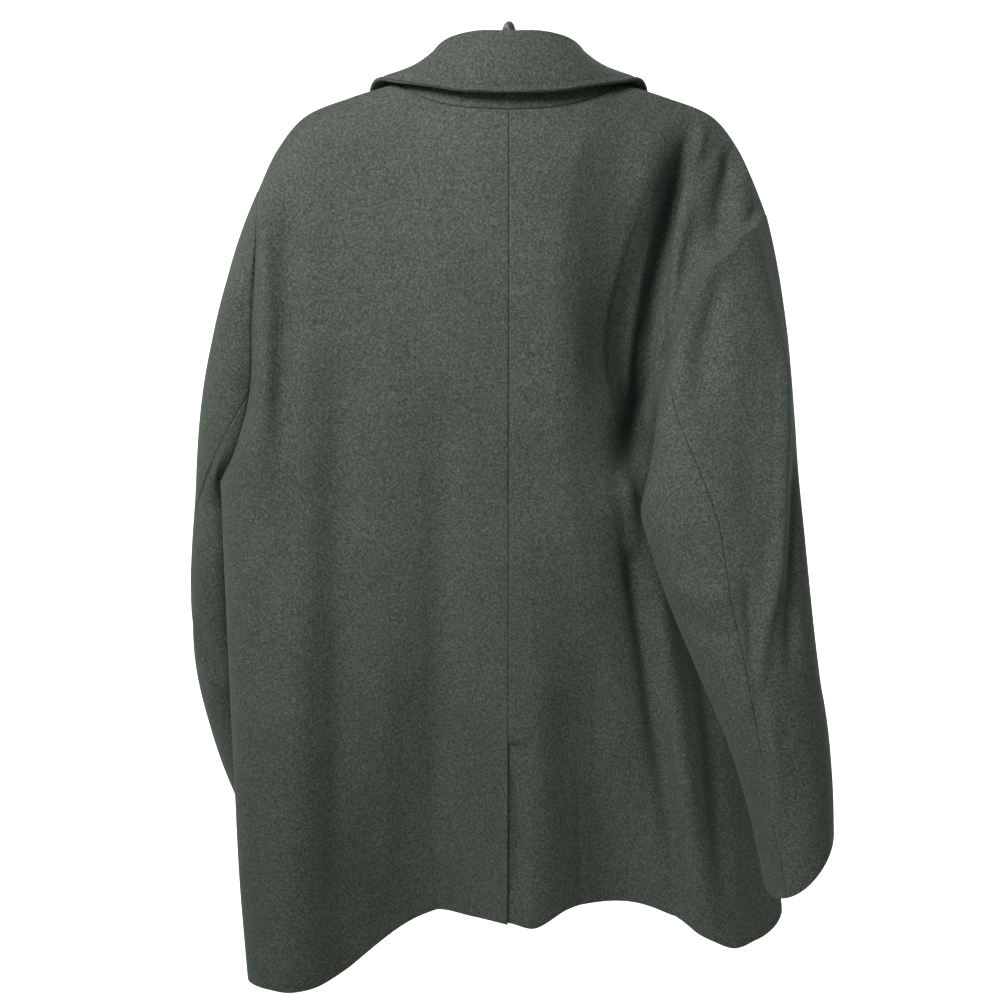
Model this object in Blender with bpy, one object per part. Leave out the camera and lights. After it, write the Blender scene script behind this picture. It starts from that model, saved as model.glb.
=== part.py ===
"""Wool overcoat on a hanger: a plain-backed car coat that hangs by its hanger's hook.

Metres, +Z up. The coat's front faces -Y and the wearer's left is +X. The origin is the inside top of the
hook, where a rail carries it. Every piece of cloth is a wall that follows the hanging coat.
"""

import math

import bmesh
import bpy
import numpy as np
from mathutils import Vector

# ---------------------------------------------------------------- driving sizes
CLOTH = 0.003  # heavy melton wool
COLLAR_CLOTH = 0.004  # two layers, pressed
SEAM_GAP = 0.0003

ARMHOLE_ROWS = 12
NECK_COLUMNS = 6
FRONT_NECK_COLUMNS = 5
SHOULDER_COLUMNS = 10
CLOSE_UP = 1.33
BACK_SEAM_COLUMN = {"left": 8, "right": 6}  # where the sleeve's back seam meets the armhole
CUFF_ROWS = 9
SLEEVE_HEAD_ROWS = 7
UNDERARM_FACING = np.array([1.0, 0.0, 1.0])  # the underarm's seam faces neither front nor back
UNDERARM_LEAVE = np.array([0.9, 0.0, 0.0])  # the way the sleeve leaves the underarm
UNDERARM_AIM = 0.35  # and how much it turns from there to the sleeve's first ring
HEAD_LEAVE = {"left": (0.45, 0.0, -0.89), "right": (0.30, 0.0, -0.95)}  # the way it leaves the shoulder point
HEAD_FLARE = (0.10, 0.15, 0.10)  # added half way down the armhole: out, to the back or front, and up
HEAD_FREE = 0.35  # above this share of the armhole's height the sleeve head leaves it in its own way
HANG_BACK = {"left": 0.0, "right": 1.0}  # the right sleeve hangs behind the body and folds over its own seam
HANG_BACK_LEAVE = np.array([-0.35, 0.85, -0.40])  # the way it leaves the seam there
HANG_BACK_COLUMNS = (4.0, 7.0, 9.0, 12.0)  # where round the armhole this starts, is full and ends

CHEST_HEIGHT = -0.437  # level of the underarm
SEAM_TAKES_OVER = 0.80  # beyond this share of the way across, the skirt's rows turn to meet the side seam
VENT_TOP = 0.547  # share of the way from chest to hem
VENT_TUCK = 0.587  # by here the underlap's side of the vent lies fully under the other
VENT_UNDERLAP = 0.034
VENT_STEP = 0.0041  # the underlap lies this much deeper
VENT_LAPS = (1.0, 0.5)  # the underlap's columns, as shares of its width
SKIRT_ROWS = (0.0, 0.06, 0.14, 0.23, 0.33, 0.44, VENT_TOP, VENT_TUCK, 0.68, 0.78, 0.89, 1.0)

SIDE_ROUND = 3.0  # how late the depth turns towards the armhole, as a power
TOP_ROUND = 0.55  # how soon it fills below the shoulder

FRONT_OVERLAP = 0.020  # each front edge passes the centre by this much
FRONT_STEP = 0.0044  # the under front lies this much deeper

SIDES = {"left": 1.0, "right": -1.0}

# ---------------------------------------------------------------- lines of the coat, (out, back, height)
CENTRE_BACK = ((0.0, 0.060, -0.074), (0.0, 0.074, -0.120), (0.0, 0.084, -0.200), (0.0, 0.088, -0.310),
               (0.0, 0.085, CHEST_HEIGHT))
BACK_NECK = ((0.0, 0.060, -0.074), (0.040, 0.056, -0.072), (0.075, 0.042, -0.065), (0.094, 0.026, -0.056),
             (0.105, 0.010, -0.049))
FRONT_NECK = ((0.050, -0.062, -0.105), (0.070, -0.047, -0.084), (0.092, -0.022, -0.062),
              (0.105, 0.010, -0.049))
SHOULDER = {
    "left": ((0.105, 0.010, -0.049), (0.150, 0.007, -0.062), (0.200, 0.003, -0.083), (0.224, 0.002, -0.111),
             (0.245, 0.0, -0.150)),
    "right": ((0.105, 0.010, -0.049), (0.150, 0.007, -0.062), (0.200, 0.003, -0.083), (0.223, 0.002, -0.111),
              (0.238, 0.001, -0.139), (0.253, 0.0, -0.172)),
}
ARMHOLE_BACK = {
    "left": ((0.245, 0.0, -0.150), (0.241, 0.045, -0.178), (0.246, 0.060, -0.260), (0.253, 0.056, -0.340),
             (0.272, 0.046, -0.400), (0.292, 0.020, -0.437)),
    "right": ((0.253, 0.0, -0.172), (0.232, 0.040, -0.180), (0.203, 0.056, -0.200), (0.175, 0.068, -0.250),
              (0.157, 0.070, -0.300), (0.148, 0.064, -0.340), (0.155, 0.043, -0.378), (0.194, 0.004, -0.414),
              (0.250, -0.024, -0.440)),
}
ARMHOLE_FRONT = {
    "left": ((0.245, 0.0, -0.150), (0.238, -0.040, -0.185), (0.232, -0.058, -0.260), (0.238, -0.056, -0.340),
             (0.262, -0.028, -0.405), (0.292, 0.020, -0.437)),
    "right": ((0.253, 0.0, -0.172), (0.248, -0.042, -0.205), (0.243, -0.062, -0.270), (0.248, -0.064, -0.340),
              (0.256, -0.050, -0.405), (0.250, -0.024, -0.440)),
}
ROLL_LINE = ((0.050, -0.062, -0.105), (0.036, -0.077, -0.200), (0.008, -0.086, -0.320),
             (-FRONT_OVERLAP, -0.087, -0.365), (-FRONT_OVERLAP, -0.085, CHEST_HEIGHT))

# side seam: share of the way down the skirt, out, back, height
SIDE_SEAM = {
    "left": ((0.0, 0.292, 0.020, -0.437), (0.25, 0.290, 0.036, -0.570), (0.55, 0.289, 0.044, -0.730),
             (0.80, 0.287, 0.056, -0.868), (1.0, 0.280, 0.075, -0.978)),
    "right": ((0.0, 0.250, -0.024, -0.440), (0.18, 0.272, -0.028, -0.530), (0.35, 0.283, -0.026, -0.612),
              (0.55, 0.287, -0.018, -0.708), (0.78, 0.294, -0.004, -0.820), (1.0, 0.304, 0.020, -0.924)),
}

# how far the cloth stands behind the hook, for each place across (share of the side seam's distance)
BACK_SECTIONS = {
    "left": {
        "across": (0.0, 0.14, 0.29, 0.44, 0.58, 0.70, 0.79, 0.90),
        "down": (
            (0.00, (0.085, 0.086, 0.084, 0.081, 0.078, 0.077, 0.075, 0.064)),
            (0.25, (0.088, 0.084, 0.083, 0.085, 0.088, 0.090, 0.088, 0.078)),
            (0.55, (0.086, 0.076, 0.070, 0.078, 0.094, 0.102, 0.101, 0.090)),
            (0.80, (0.083, 0.066, 0.054, 0.062, 0.088, 0.106, 0.110, 0.100)),
            (1.00, (0.080, 0.058, 0.040, 0.050, 0.080, 0.108, 0.118, 0.112)),
        ),
        "hem": (-0.911, -0.914, -0.917, -0.935, -0.959, -0.965, -0.965, -0.966),
    },
    "right": {
        "across": (0.0, 0.08, 0.22, 0.33, 0.46, 0.54, 0.62, 0.70, 0.78, 0.88),
        "down": (
            (0.00, (0.085, 0.086, 0.086, 0.083, 0.074, 0.058, 0.034, 0.012, -0.002, -0.010)),
            (0.18, (0.088, 0.088, 0.085, 0.080, 0.060, 0.045, 0.026, 0.010, 0.002, -0.004)),
            (0.35, (0.088, 0.087, 0.081, 0.073, 0.057, 0.050, 0.038, 0.020, 0.008, 0.000)),
            (0.55, (0.087, 0.086, 0.074, 0.066, 0.060, 0.049, 0.055, 0.047, 0.028, 0.006)),
            (0.78, (0.084, 0.086, 0.070, 0.053, 0.050, 0.052, 0.062, 0.064, 0.050, 0.026)),
            (1.00, (0.080, 0.090, 0.070, 0.045, 0.040, 0.055, 0.078, 0.092, 0.094, 0.070)),
        ),
        "hem": (-0.911, -0.910, -0.898, -0.904, -0.906, -0.904, -0.913, -0.920, -0.929, -0.935),
    },
}
FRONT_SECTIONS = {
    "left": {
        "across": (0.0, 0.30, 0.60, 0.80, 0.92),
        "down": (
            (0.0, (-0.085, -0.080, -0.063, -0.038, -0.008)),
            (0.5, (-0.088, -0.080, -0.062, -0.036, -0.002)),
            (1.0, (-0.085, -0.072, -0.060, -0.030, 0.018)),
        ),
        "hem": (-0.925, -0.930, -0.944, -0.958, -0.970),
    },
    "right": {
        "across": (0.0, 0.30, 0.60, 0.80, 0.92),
        "down": (
            (0.0, (-0.085, -0.083, -0.078, -0.070, -0.060)),
            (0.5, (-0.088, -0.084, -0.077, -0.067, -0.054)),
            (1.0, (-0.085, -0.078, -0.068, -0.048, -0.024)),
        ),
        "hem": (-0.925, -0.922, -0.922, -0.924, -0.925),
    },
}

FOLD_END = 0.045  # the length over which a fold fades
QUIET_EDGE = 0.93  # beyond this share of the way to the seam a panel's folds fade
QUIET_TOP = 0.12  # and above this share of the way down the armhole
# soft folds: out and height at the top, middle and foot of the fold, half width on the centre's side and on
# the sleeve's side, depth (minus is a trough)
FOLDS = {
    "back_left": (
        ("seam ridge", 0.232, -0.170, 0.236, -0.270, 0.236, -0.420, 0.016, 0.016, 0.004),
        ("inner valley", 0.212, -0.130, 0.214, -0.260, 0.222, -0.420, 0.018, 0.018, -0.006),
        ("long valley", 0.165, -0.300, 0.168, -0.600, 0.172, -0.960, 0.026, 0.026, -0.006),
        ("middle valley", 0.066, -0.330, 0.068, -0.500, 0.070, -0.780, 0.030, 0.030, -0.004),
        ("flank ridge", 0.215, -0.520, 0.225, -0.740, 0.232, -1.000, 0.030, 0.030, 0.004),
    ),
    "back_right": (
        ("overlapping fold", 0.176, -0.118, 0.149, -0.205, 0.128, -0.420, 0.042, 0.009, -0.013),
        ("roll beside it", 0.190, -0.130, 0.163, -0.205, 0.146, -0.320, 0.010, 0.014, 0.005),
        ("hollow by the centre", 0.060, -0.480, 0.075, -0.680, 0.095, -0.900, 0.030, 0.030, -0.004),
    ),
    "front_left": (("front valley", 0.150, -0.500, 0.155, -0.700, 0.160, -0.940, 0.030, 0.030, -0.006),),
    "front_right": (("front valley", 0.140, -0.480, 0.150, -0.700, 0.165, -0.940, 0.030, 0.030, -0.006),),
}

# sleeves: height, how far the ring slants up to its outer side, inner and outer distance from the middle,
# middle and half depth front to back, then the angle round the tube of the shoulder line, the back seam, the
# underarm and the front seam (0 = outward)
SLEEVES = {
    "left": (
        (-0.475, 0.000, 0.272, 0.335, -0.064, 0.072, -45.0, 45.0, 112.0, 215.0),
        (-0.530, 0.000, 0.274, 0.343, -0.070, 0.074, -58.0, 10.0, 108.0, 208.0),
        (-0.600, 0.000, 0.274, 0.350, -0.077, 0.074, -65.0, -5.0, 115.0, 205.0),
        (-0.680, 0.000, 0.271, 0.349, -0.084, 0.070, -65.0, -5.0, 115.0, 205.0),
        (-0.750, 0.004, 0.264, 0.340, -0.092, 0.065, -65.0, -5.0, 115.0, 205.0),
        (-0.800, 0.009, 0.257, 0.331, -0.098, 0.062, -65.0, -5.0, 115.0, 205.0),
        (-0.850, 0.016, 0.248, 0.319, -0.104, 0.060, -65.0, -5.0, 115.0, 205.0),
    ),
    "right": (
        (-0.465, 0.000, 0.131, 0.287, 0.090, 0.060, 0.0, 97.0, 287.0, 325.0),
        (-0.520, 0.000, 0.149, 0.294, 0.096, 0.062, 0.0, 100.0, 280.0, 320.0),
        (-0.600, 0.004, 0.184, 0.305, 0.102, 0.064, 0.0, 106.0, 268.0, 312.0),
        (-0.680, 0.012, 0.222, 0.318, 0.108, 0.064, 0.0, 120.0, 255.0, 305.0),
        (-0.750, 0.022, 0.247, 0.325, 0.112, 0.062, 0.0, 126.0, 245.0, 300.0),
        (-0.808, 0.036, 0.264, 0.328, 0.114, 0.059, 0.0, 128.0, 240.0, 298.0),
    ),
}

# collar, (out, back, height) from the centre back round to the front end
COLLAR_FOLD = ((0.0, 0.050, -0.009), (0.030, 0.046, -0.009), (0.054, 0.034, -0.014), (0.069, 0.010, -0.025),
               (0.073, -0.018, -0.042), (0.066, -0.044, -0.067), (0.049, -0.062, -0.093))
COLLAR_EDGE = ((0.0, 0.074, -0.0597), (0.042, 0.068, -0.0585), (0.078, 0.051, -0.053),
               (0.106, 0.029, -0.0485), (0.129, 0.004, -0.0460), (0.136, -0.016, -0.060),
               (0.132, -0.032, -0.080), (0.119, -0.047, -0.104), (0.100, -0.060, -0.132))
FALL_ROWS = 5
FOLD_RADIUS = 0.0048
FOLD_TURNS = (180.0, 125.0, 75.0, 30.0)  # degrees round the fold, from inside the neck to outside
FALL_CROWN = 0.006  # how far the fall swells at the centre back, between its fold and its edge
FALL_CROWN_REACH = 0.085  # the distance out at which this swelling would end
FALL_LEAN = (0.6, 0.8)  # it swells out and up
STAND_LEAN = 0.35  # how far the stand's foot turns to lie in line with the panels it is sewn to
STAND_ROWS = 2

LAPEL_ROWS = 9
LAPEL_COLUMNS = 4
LAPEL_TOP = 0.45  # where the lapel starts and ends on the roll line, in rows of the front
LAPEL_END = 8.0
GORGE_DROP = 1.7  # rows by which the lapel's top edge runs down towards its point
# lapel width at each share of the way down its roll
LAPEL_WIDTH = ((0.0, 0.058), (0.10, 0.078), (0.25, 0.084), (0.60, 0.056), (1.0, 0.012))
LAPEL_SEAT = 0.0014

BUTTON_RADIUS = 0.0125
BUTTON_THICKNESS = 0.004
BUTTON_HEIGHTS = (-0.385, -0.505, -0.625)
BUTTON_SIDES = 20
# the turned outline, as shares of the radius and of the thickness: rounded rim, sunk face
BUTTON_PROFILE = ((0.92, 0.0), (1.0, 0.3), (1.0, 0.75), (0.93, 1.0), (0.80, 1.0), (0.72, 0.72))
BUTTON_SEAT = 0.0008

HOOK_ROD = 0.0035
HOOK_INNER = 0.016
HOOK_TURN = math.radians(-14)  # the hook stands almost square to the hanger
HANGER_RADIUS = 0.006
HANGER_TIP = (0.186, 0.001, -0.113)
HANGER_DROP = 0.0175  # the arm's middle under the shoulder line
# the hanger's arm (out, back, height) as far as the shoulder line takes over
HANGER_ARM = ((0.0, 0.0, -0.058), (0.040, 0.002, -0.058), (0.080, 0.007, -0.0615))


# ---------------------------------------------------------------- curves and surfaces
def smooth_read(knots, values, at):
    """Read a smooth line through the values that a table gives at its knots."""
    knots = np.asarray(knots, float)
    values = np.asarray(values, float)
    flat = values.ndim == 1
    if flat:
        values = values[:, None]
    slopes = np.gradient(values, knots, axis=0)
    at = np.clip(np.atleast_1d(np.asarray(at, float)), knots[0], knots[-1])
    piece = np.clip(np.searchsorted(knots, at, side="right") - 1, 0, len(knots) - 2)
    step = (knots[piece + 1] - knots[piece])[:, None]
    t = ((at - knots[piece]) / step[:, 0])[:, None]
    read = (
        (2 * t**3 - 3 * t**2 + 1) * values[piece]
        + (t**3 - 2 * t**2 + t) * step * slopes[piece]
        + (3 * t**2 - 2 * t**3) * values[piece + 1]
        + (t**3 - t**2) * step * slopes[piece + 1]
    )
    return read[:, 0] if flat else read


def run_through(points, shares):
    """Points of a smooth line through the given ones, at shares of its length."""
    points = np.array(points, float)
    chord = np.concatenate([[0.0], np.cumsum(np.linalg.norm(np.diff(points, axis=0), axis=1))])
    fine = smooth_read(chord, points, np.linspace(0.0, chord[-1], 400))
    along = np.concatenate([[0.0], np.cumsum(np.linalg.norm(np.diff(fine, axis=0), axis=1))])
    return np.column_stack([np.interp(np.asarray(shares) * along[-1], along, fine[:, k]) for k in range(3)])


def smooth_step(low, high, value):
    t = np.clip((value - low) / (high - low), 0.0, 1.0)
    return t * t * (3 - 2 * t)


def border_patch(top, bottom, inner, outer, across, down):
    """A surface inside four border lines. The depth swells faster than the plan, as cloth over a shoulder."""
    grid = np.zeros((len(down), len(across), 3))
    for axis in range(3):
        round_off = axis == 1
        u = (1 - (1 - across**SIDE_ROUND) ** (1 / SIDE_ROUND) if round_off else across)[None, :]
        v = ((1 - (1 - down) ** 2) ** TOP_ROUND if round_off else down)[:, None]
        corners = (
            (1 - u) * (1 - v) * top[0, axis]
            + u * (1 - v) * top[-1, axis]
            + (1 - u) * v * bottom[0, axis]
            + u * v * bottom[-1, axis]
        )
        grid[:, :, axis] = (
            (1 - v) * top[None, :, axis]
            + v * bottom[None, :, axis]
            + (1 - u) * inner[:, None, axis]
            + u * outer[:, None, axis]
            - corners
        )
    return grid


def surface_normals(grid, outward):
    """Unit normals of a grid of points, turned to the side where outward says."""
    down = np.gradient(grid, axis=0)
    across = np.gradient(grid, axis=1)
    normal = np.cross(down, across)
    normal /= np.maximum(np.linalg.norm(normal, axis=2, keepdims=True), 1e-12)
    if np.sum(normal * outward) < 0:
        normal = -normal
    return normal


def add_folds(grid, normal, folds):
    """Push soft ridges and troughs into a panel whose out-distances are positive."""
    moved = grid.copy()
    for _name, x0, z0, x1, z1, x2, z2, centre_width, sleeve_width, depth in folds:
        height = grid[:, :, 2]
        line = smooth_read((z2, z1, z0), (x2, x1, x0), height.ravel()).reshape(height.shape)
        beside = grid[:, :, 0] - line
        beside = beside / np.where(beside < 0, centre_width, sleeve_width)
        fade = smooth_step(z0 + FOLD_END / 2, z0 - FOLD_END, height)
        fade *= smooth_step(z2 - FOLD_END, z2 + FOLD_END, height)
        moved += (depth * np.exp(-(beside**2)) * fade)[:, :, None] * normal
    return moved


# ---------------------------------------------------------------- walls
def inset(grid, normal, edges, amount):
    """Draw the named edges of a grid back, square to the seam line and to the rim's own normal."""
    drawn = grid.copy()
    for edge in edges:
        rim, inside = {
            "top": (np.s_[0, :], np.s_[1, :]),
            "bottom": (np.s_[-1, :], np.s_[-2, :]),
            "first": (np.s_[:, 0], np.s_[:, 1]),
            "last": (np.s_[:, -1], np.s_[:, -2]),
        }[edge]
        way = across_from(grid[inside] - grid[rim], normal[rim])
        along = across_from(np.gradient(grid[rim], axis=0), normal[rim])
        drawn[rim] += across_from(way, along) * amount
    return drawn


def across_from(way, axis):
    """The unit part of a direction that is square to an axis."""
    return unit(way - axis * np.sum(way * axis, axis=-1, keepdims=True))


def cloth_wall(name, outer, normal, thickness, material, present=None):
    """One closed solid: an outer sheet, an inner one a cloth's thickness in, and rims round the edges."""
    rows, columns = outer.shape[:2]
    inner = outer - normal * thickness
    if present is None:
        present = np.ones((rows - 1, columns - 1), bool)
    mesh = bmesh.new()
    corners = {}

    def corner(layer, i, j):
        if (layer, i, j) not in corners:
            place = (outer, inner)[layer][i, j]
            corners[layer, i, j] = mesh.verts.new(place)
        return corners[layer, i, j]

    for i in range(rows - 1):
        for j in range(columns - 1):
            if not present[i, j]:
                continue
            ring = ((i, j), (i, j + 1), (i + 1, j + 1), (i + 1, j))
            for half in split_short(ring, outer):
                mesh.faces.new([corner(0, *at) for at in half])
                mesh.faces.new([corner(1, *at) for at in reversed(half)])
            beyond = ((i - 1, j), (i, j + 1), (i + 1, j), (i, j - 1))
            for k, (ni, nj) in enumerate(beyond):
                inside = 0 <= ni < rows - 1 and 0 <= nj < columns - 1
                if inside and present[ni, nj]:
                    continue
                a, b = ring[k], ring[(k + 1) % 4]
                rim = [corner(0, *b), corner(0, *a), corner(1, *a), corner(1, *b)]
                if runs_up(outer[a], outer[b]):
                    rim = rim[1:] + rim[:1]
                mesh.faces.new(rim[:3])
                mesh.faces.new(rim[2:] + rim[:1])
    return add_object(name, mesh, material)


def split_short(ring, points):
    """The two triangles of a quad, split along its shorter diagonal, so that both layers bend alike."""
    a, b, c, d = ring
    if np.linalg.norm(points[a] - points[c]) <= np.linalg.norm(points[b] - points[d]):
        return (a, b, c), (a, c, d)
    return (a, b, d), (b, c, d)


def runs_up(start, end):
    """Whether an edge runs up its longest axis. Rims that face each other are split the same way by it."""
    step = end - start
    return step[np.argmax(np.abs(step))] > 0


def add_object(name, mesh, material, sharp=40.0):
    bmesh.ops.recalc_face_normals(mesh, faces=mesh.faces)
    data = bpy.data.meshes.new(name)
    mesh.to_mesh(data)
    mesh.free()
    data.shade_smooth()
    data.set_sharp_from_angle(angle=math.radians(sharp))
    data.materials.append(material)
    piece = bpy.data.objects.new(name, data)
    bpy.context.scene.collection.objects.link(piece)
    return piece


def make_material(name, colour, roughness, metallic=0.0):
    material = bpy.data.materials.new(name)
    material.use_nodes = True
    shader = material.node_tree.nodes["Principled BSDF"]
    shader.inputs["Base Color"].default_value = (*colour, 1.0)
    shader.inputs["Roughness"].default_value = roughness
    shader.inputs["Metallic"].default_value = metallic
    material.diffuse_color = (*colour, 1.0)
    return material


def mirror_to(side, grid):
    """Grids are worked out with out-distances positive. The wearer's right has them negative."""
    return grid * np.array([SIDES[side], 1.0, 1.0])


# ---------------------------------------------------------------- body panels
def columns_across(neck_columns, neck_share):
    neck = np.linspace(0.0, neck_share, neck_columns + 1)
    return np.concatenate([neck, neck_share + (1 - neck_share) * shoulder_shares()])


def shoulder_shares():
    """Columns close up towards the armhole, where the cloth turns."""
    turn = np.arange(1, SHOULDER_COLUMNS + 1) / SHOULDER_COLUMNS * CLOSE_UP
    return np.sin(turn) / math.sin(CLOSE_UP)


def skirt_rows(sections, seam, across, down, start):
    """Rows below the underarm: smooth sections between the centre line and the side seam."""
    known = np.arcsin(np.append(sections["across"], 1.0))
    levels = [row[0] for row in sections["down"]]
    seam_down = [row[0] for row in seam]
    edge = smooth_read(seam_down, [row[1:] for row in seam], down)
    edge_at_levels = smooth_read(seam_down, [row[1:] for row in seam], levels)
    table = np.array([[*row[1], edge_at_levels[k][1]] for k, row in enumerate(sections["down"])])
    table_at_rows = smooth_read(levels, table, down)
    hem = np.append(sections["hem"], seam[-1][3])
    grid = np.zeros((len(down), len(across), 3))
    for i, share in enumerate(down):
        reach = edge[i, 0]
        out = start + (reach - start) * across
        turn = np.arcsin(np.clip(np.abs(out) / reach, 0.0, 1.0))
        grid[i, :, 0] = out
        depth = smooth_read(known, table_at_rows[i], turn)
        depth[-1] = edge[i, 1]
        grid[i, :, 1] = depth
        top = CHEST_HEIGHT + (seam[0][3] - CHEST_HEIGHT) * across**2
        low = smooth_read(known, hem, turn)
        row = top + (low - top) * share
        row[-1] = edge[i, 2]
        blend = smooth_step(SEAM_TAKES_OVER, 1.0, across)
        straight = top[-1] + (low[-1] - top[-1]) * share
        grid[i, :, 2] = row + (edge[i, 2] - straight) * blend * (across < 1)
    return grid


def back_panel(side, skirt_down=SKIRT_ROWS):
    shoulder = SHOULDER[side]
    across = columns_across(NECK_COLUMNS, shoulder[0][0] / shoulder[-1][0])
    down = np.linspace(0.0, 1.0, ARMHOLE_ROWS + 1)
    neck = run_through(BACK_NECK, np.linspace(0, 1, NECK_COLUMNS + 1))
    top = np.concatenate([neck, run_through(shoulder, shoulder_shares())])
    skirt = skirt_rows(BACK_SECTIONS[side], SIDE_SEAM[side], across, np.array(skirt_down), 0.0)
    armhole = run_through(ARMHOLE_BACK[side], down)
    upper = border_patch(top, skirt[0], run_through(CENTRE_BACK, down), armhole, across, down)
    grid = np.concatenate([upper, skirt[1:]])
    normal = surface_normals(grid, np.array([0.0, 1.0, 0.0]))
    quiet = 1 - smooth_step(QUIET_EDGE, 1.0, across)[None, :, None]
    still = smooth_step(0.0, QUIET_TOP, np.concatenate([down, 1 + np.array(skirt_down[1:])]))[:, None, None]
    folded = add_folds(grid, normal, FOLDS["back_" + side])
    return grid + (folded - grid) * quiet * still


def front_panel(side):
    shoulder = SHOULDER[side]
    across = columns_across(FRONT_NECK_COLUMNS, 0.40)
    down = np.linspace(0.0, 1.0, ARMHOLE_ROWS + 1)
    neck = run_through(FRONT_NECK, np.linspace(0, 1, FRONT_NECK_COLUMNS + 1))
    top = np.concatenate([neck, run_through(shoulder, shoulder_shares())])
    skirt = skirt_rows(FRONT_SECTIONS[side], SIDE_SEAM[side], across, np.array(SKIRT_ROWS), -FRONT_OVERLAP)
    armhole = run_through(ARMHOLE_FRONT[side], down)
    upper = border_patch(top, skirt[0], run_through(ROLL_LINE, down), armhole, across, down)
    grid = np.concatenate([upper, skirt[1:]])
    normal = surface_normals(grid, np.array([0.0, -1.0, 0.0]))
    return add_folds(grid, normal, FOLDS["front_" + side])


def tuck_under(own, over):
    """The right front's edge lies behind the left front, from the lowest part of the opening down."""
    tucked = own.copy()
    for i, row in enumerate(own):
        over_depth = np.interp(-row[:, 0], over[i, :, 0], over[i, :, 1])
        under = 1 - smooth_step(FRONT_OVERLAP + 0.002, FRONT_OVERLAP + 0.035, row[:, 0])
        low = smooth_step(-0.290, -0.330, row[0, 2])
        tucked[i, :, 1] += (over_depth + FRONT_STEP - row[:, 1]) * under * low
    return tucked


def with_vent(own, over, over_normal):
    """The right back with its underlap, which is made from the left back's points, moved in."""
    top_row = ARMHOLE_ROWS + SKIRT_ROWS.index(VENT_TOP)
    laps = []
    for share in VENT_LAPS:
        lap = np.array([read_row(over[i], over_normal[i], VENT_UNDERLAP * share) for i in range(len(over))])
        laps.append((lap[:, 0] - lap[:, 1] * VENT_STEP) * np.array([-1.0, 1.0, 1.0]))
    wide = np.concatenate([np.stack(laps, axis=1), own], axis=1)
    sunk = 1 - smooth_step(0.004, VENT_UNDERLAP, wide[:, :, 0])
    sunk[:top_row + 1] = 0.0
    sunk[:, :len(laps)] = 0.0
    wide[:, :, 1] -= VENT_STEP * sunk
    present = np.ones((wide.shape[0] - 1, wide.shape[1] - 1), bool)
    present[:top_row + 1, :len(laps)] = False
    return wide, present


def read_row(points, normals, reach):
    """The point and normal that lie this far along a row of a panel, counted from its first point."""
    along = np.concatenate([[0.0], np.cumsum(np.linalg.norm(np.diff(points, axis=0), axis=1))])
    point = [np.interp(reach, along, points[:, k]) for k in range(3)]
    normal = [np.interp(reach, along, normals[:, k]) for k in range(3)]
    return np.array(point), unit(np.array(normal))


# ---------------------------------------------------------------- sleeves
def ring_points(row, column_angles):
    """One ring of a sleeve: an oval, read at each column's angle."""
    height, slant, inner, outer, middle, half_depth = row[:6]
    turn = np.radians(column_angles)
    centre = (inner + outer) / 2
    half_width = (outer - inner) / 2
    return np.column_stack([
        centre + half_width * np.cos(turn),
        middle + half_depth * np.sin(turn),
        height + slant * np.cos(turn),
    ])


def sleeve_grid(side, back, front):
    """Rings from the armhole to the cuff. Columns run from the shoulder point round the back to it again."""
    count = 2 * ARMHOLE_ROWS
    loop = np.concatenate([back[:ARMHOLE_ROWS + 1, -1], front[:ARMHOLE_ROWS, -1][::-1]])
    seam = BACK_SEAM_COLUMN[side]
    front_seam = count - ARMHOLE_ROWS // 2
    marks = (0, seam, ARMHOLE_ROWS, front_seam, count)
    rows = np.array(SLEEVES[side])
    heights = rows[:, 0]
    wanted = np.linspace(heights[0], heights[-1], CUFF_ROWS + 1)
    table = smooth_read(-heights, rows, -wanted)
    rings = []
    for row in table:
        angles = np.interp(np.arange(count + 1), marks, (*row[6:10], row[6] + 360.0))
        rings.append(ring_points(row, angles))
    rings = np.array(rings)
    first = rings[0]
    fall = rings[1] - rings[0]
    fall /= np.linalg.norm(fall, axis=1, keepdims=True)
    drop = (loop[:, 2] - loop[:, 2].min()) / (loop[:, 2].max() - loop[:, 2].min())
    flare = 4 * drop * (1 - drop)
    to_side = np.column_stack([np.ones(count + 1), np.sign(loop[:, 1]), np.ones(count + 1)])
    leave = unit(np.array(HEAD_LEAVE[side]) + np.array(HEAD_FLARE) * to_side * flare[:, None])
    span = np.linalg.norm(first - loop, axis=1)[:, None]
    free = smooth_step(0.0, HEAD_FREE, drop)[:, None]
    underarm = unit(UNDERARM_LEAVE + UNDERARM_AIM * (first - loop) / span)
    leave = unit(leave * free + underarm * (1 - free))
    column = np.arange(count + 1)
    start, full, fading, end = HANG_BACK_COLUMNS
    back = (HANG_BACK[side] * smooth_step(start, full, column) * smooth_step(end, fading, column))[:, None]
    leave = unit(leave * (1 - back) + HANG_BACK_LEAVE * back)
    head = []
    for t in np.linspace(0, 1, SLEEVE_HEAD_ROWS + 1)[:-1]:
        head.append(
            (2 * t**3 - 3 * t**2 + 1) * loop
            + (t**3 - 2 * t**2 + t) * leave * span
            + (3 * t**2 - 2 * t**3) * first
            + (t**3 - t**2) * fall * span
        )
    return np.concatenate([np.array(head), rings]), seam, front_seam


# ---------------------------------------------------------------- build
def clear_scene():
    for leftover in list(bpy.data.objects):
        bpy.data.objects.remove(leftover)


def unit(vectors):
    return vectors / np.maximum(np.linalg.norm(vectors, axis=-1, keepdims=True), 1e-12)


def share_edge(normal_a, at_a, normal_b, at_b):
    """Where two panels are sewn together their rims face each other."""
    mean = unit(normal_a[at_a] + normal_b[at_b])
    normal_a[at_a] = mean
    normal_b[at_b] = mean


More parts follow.
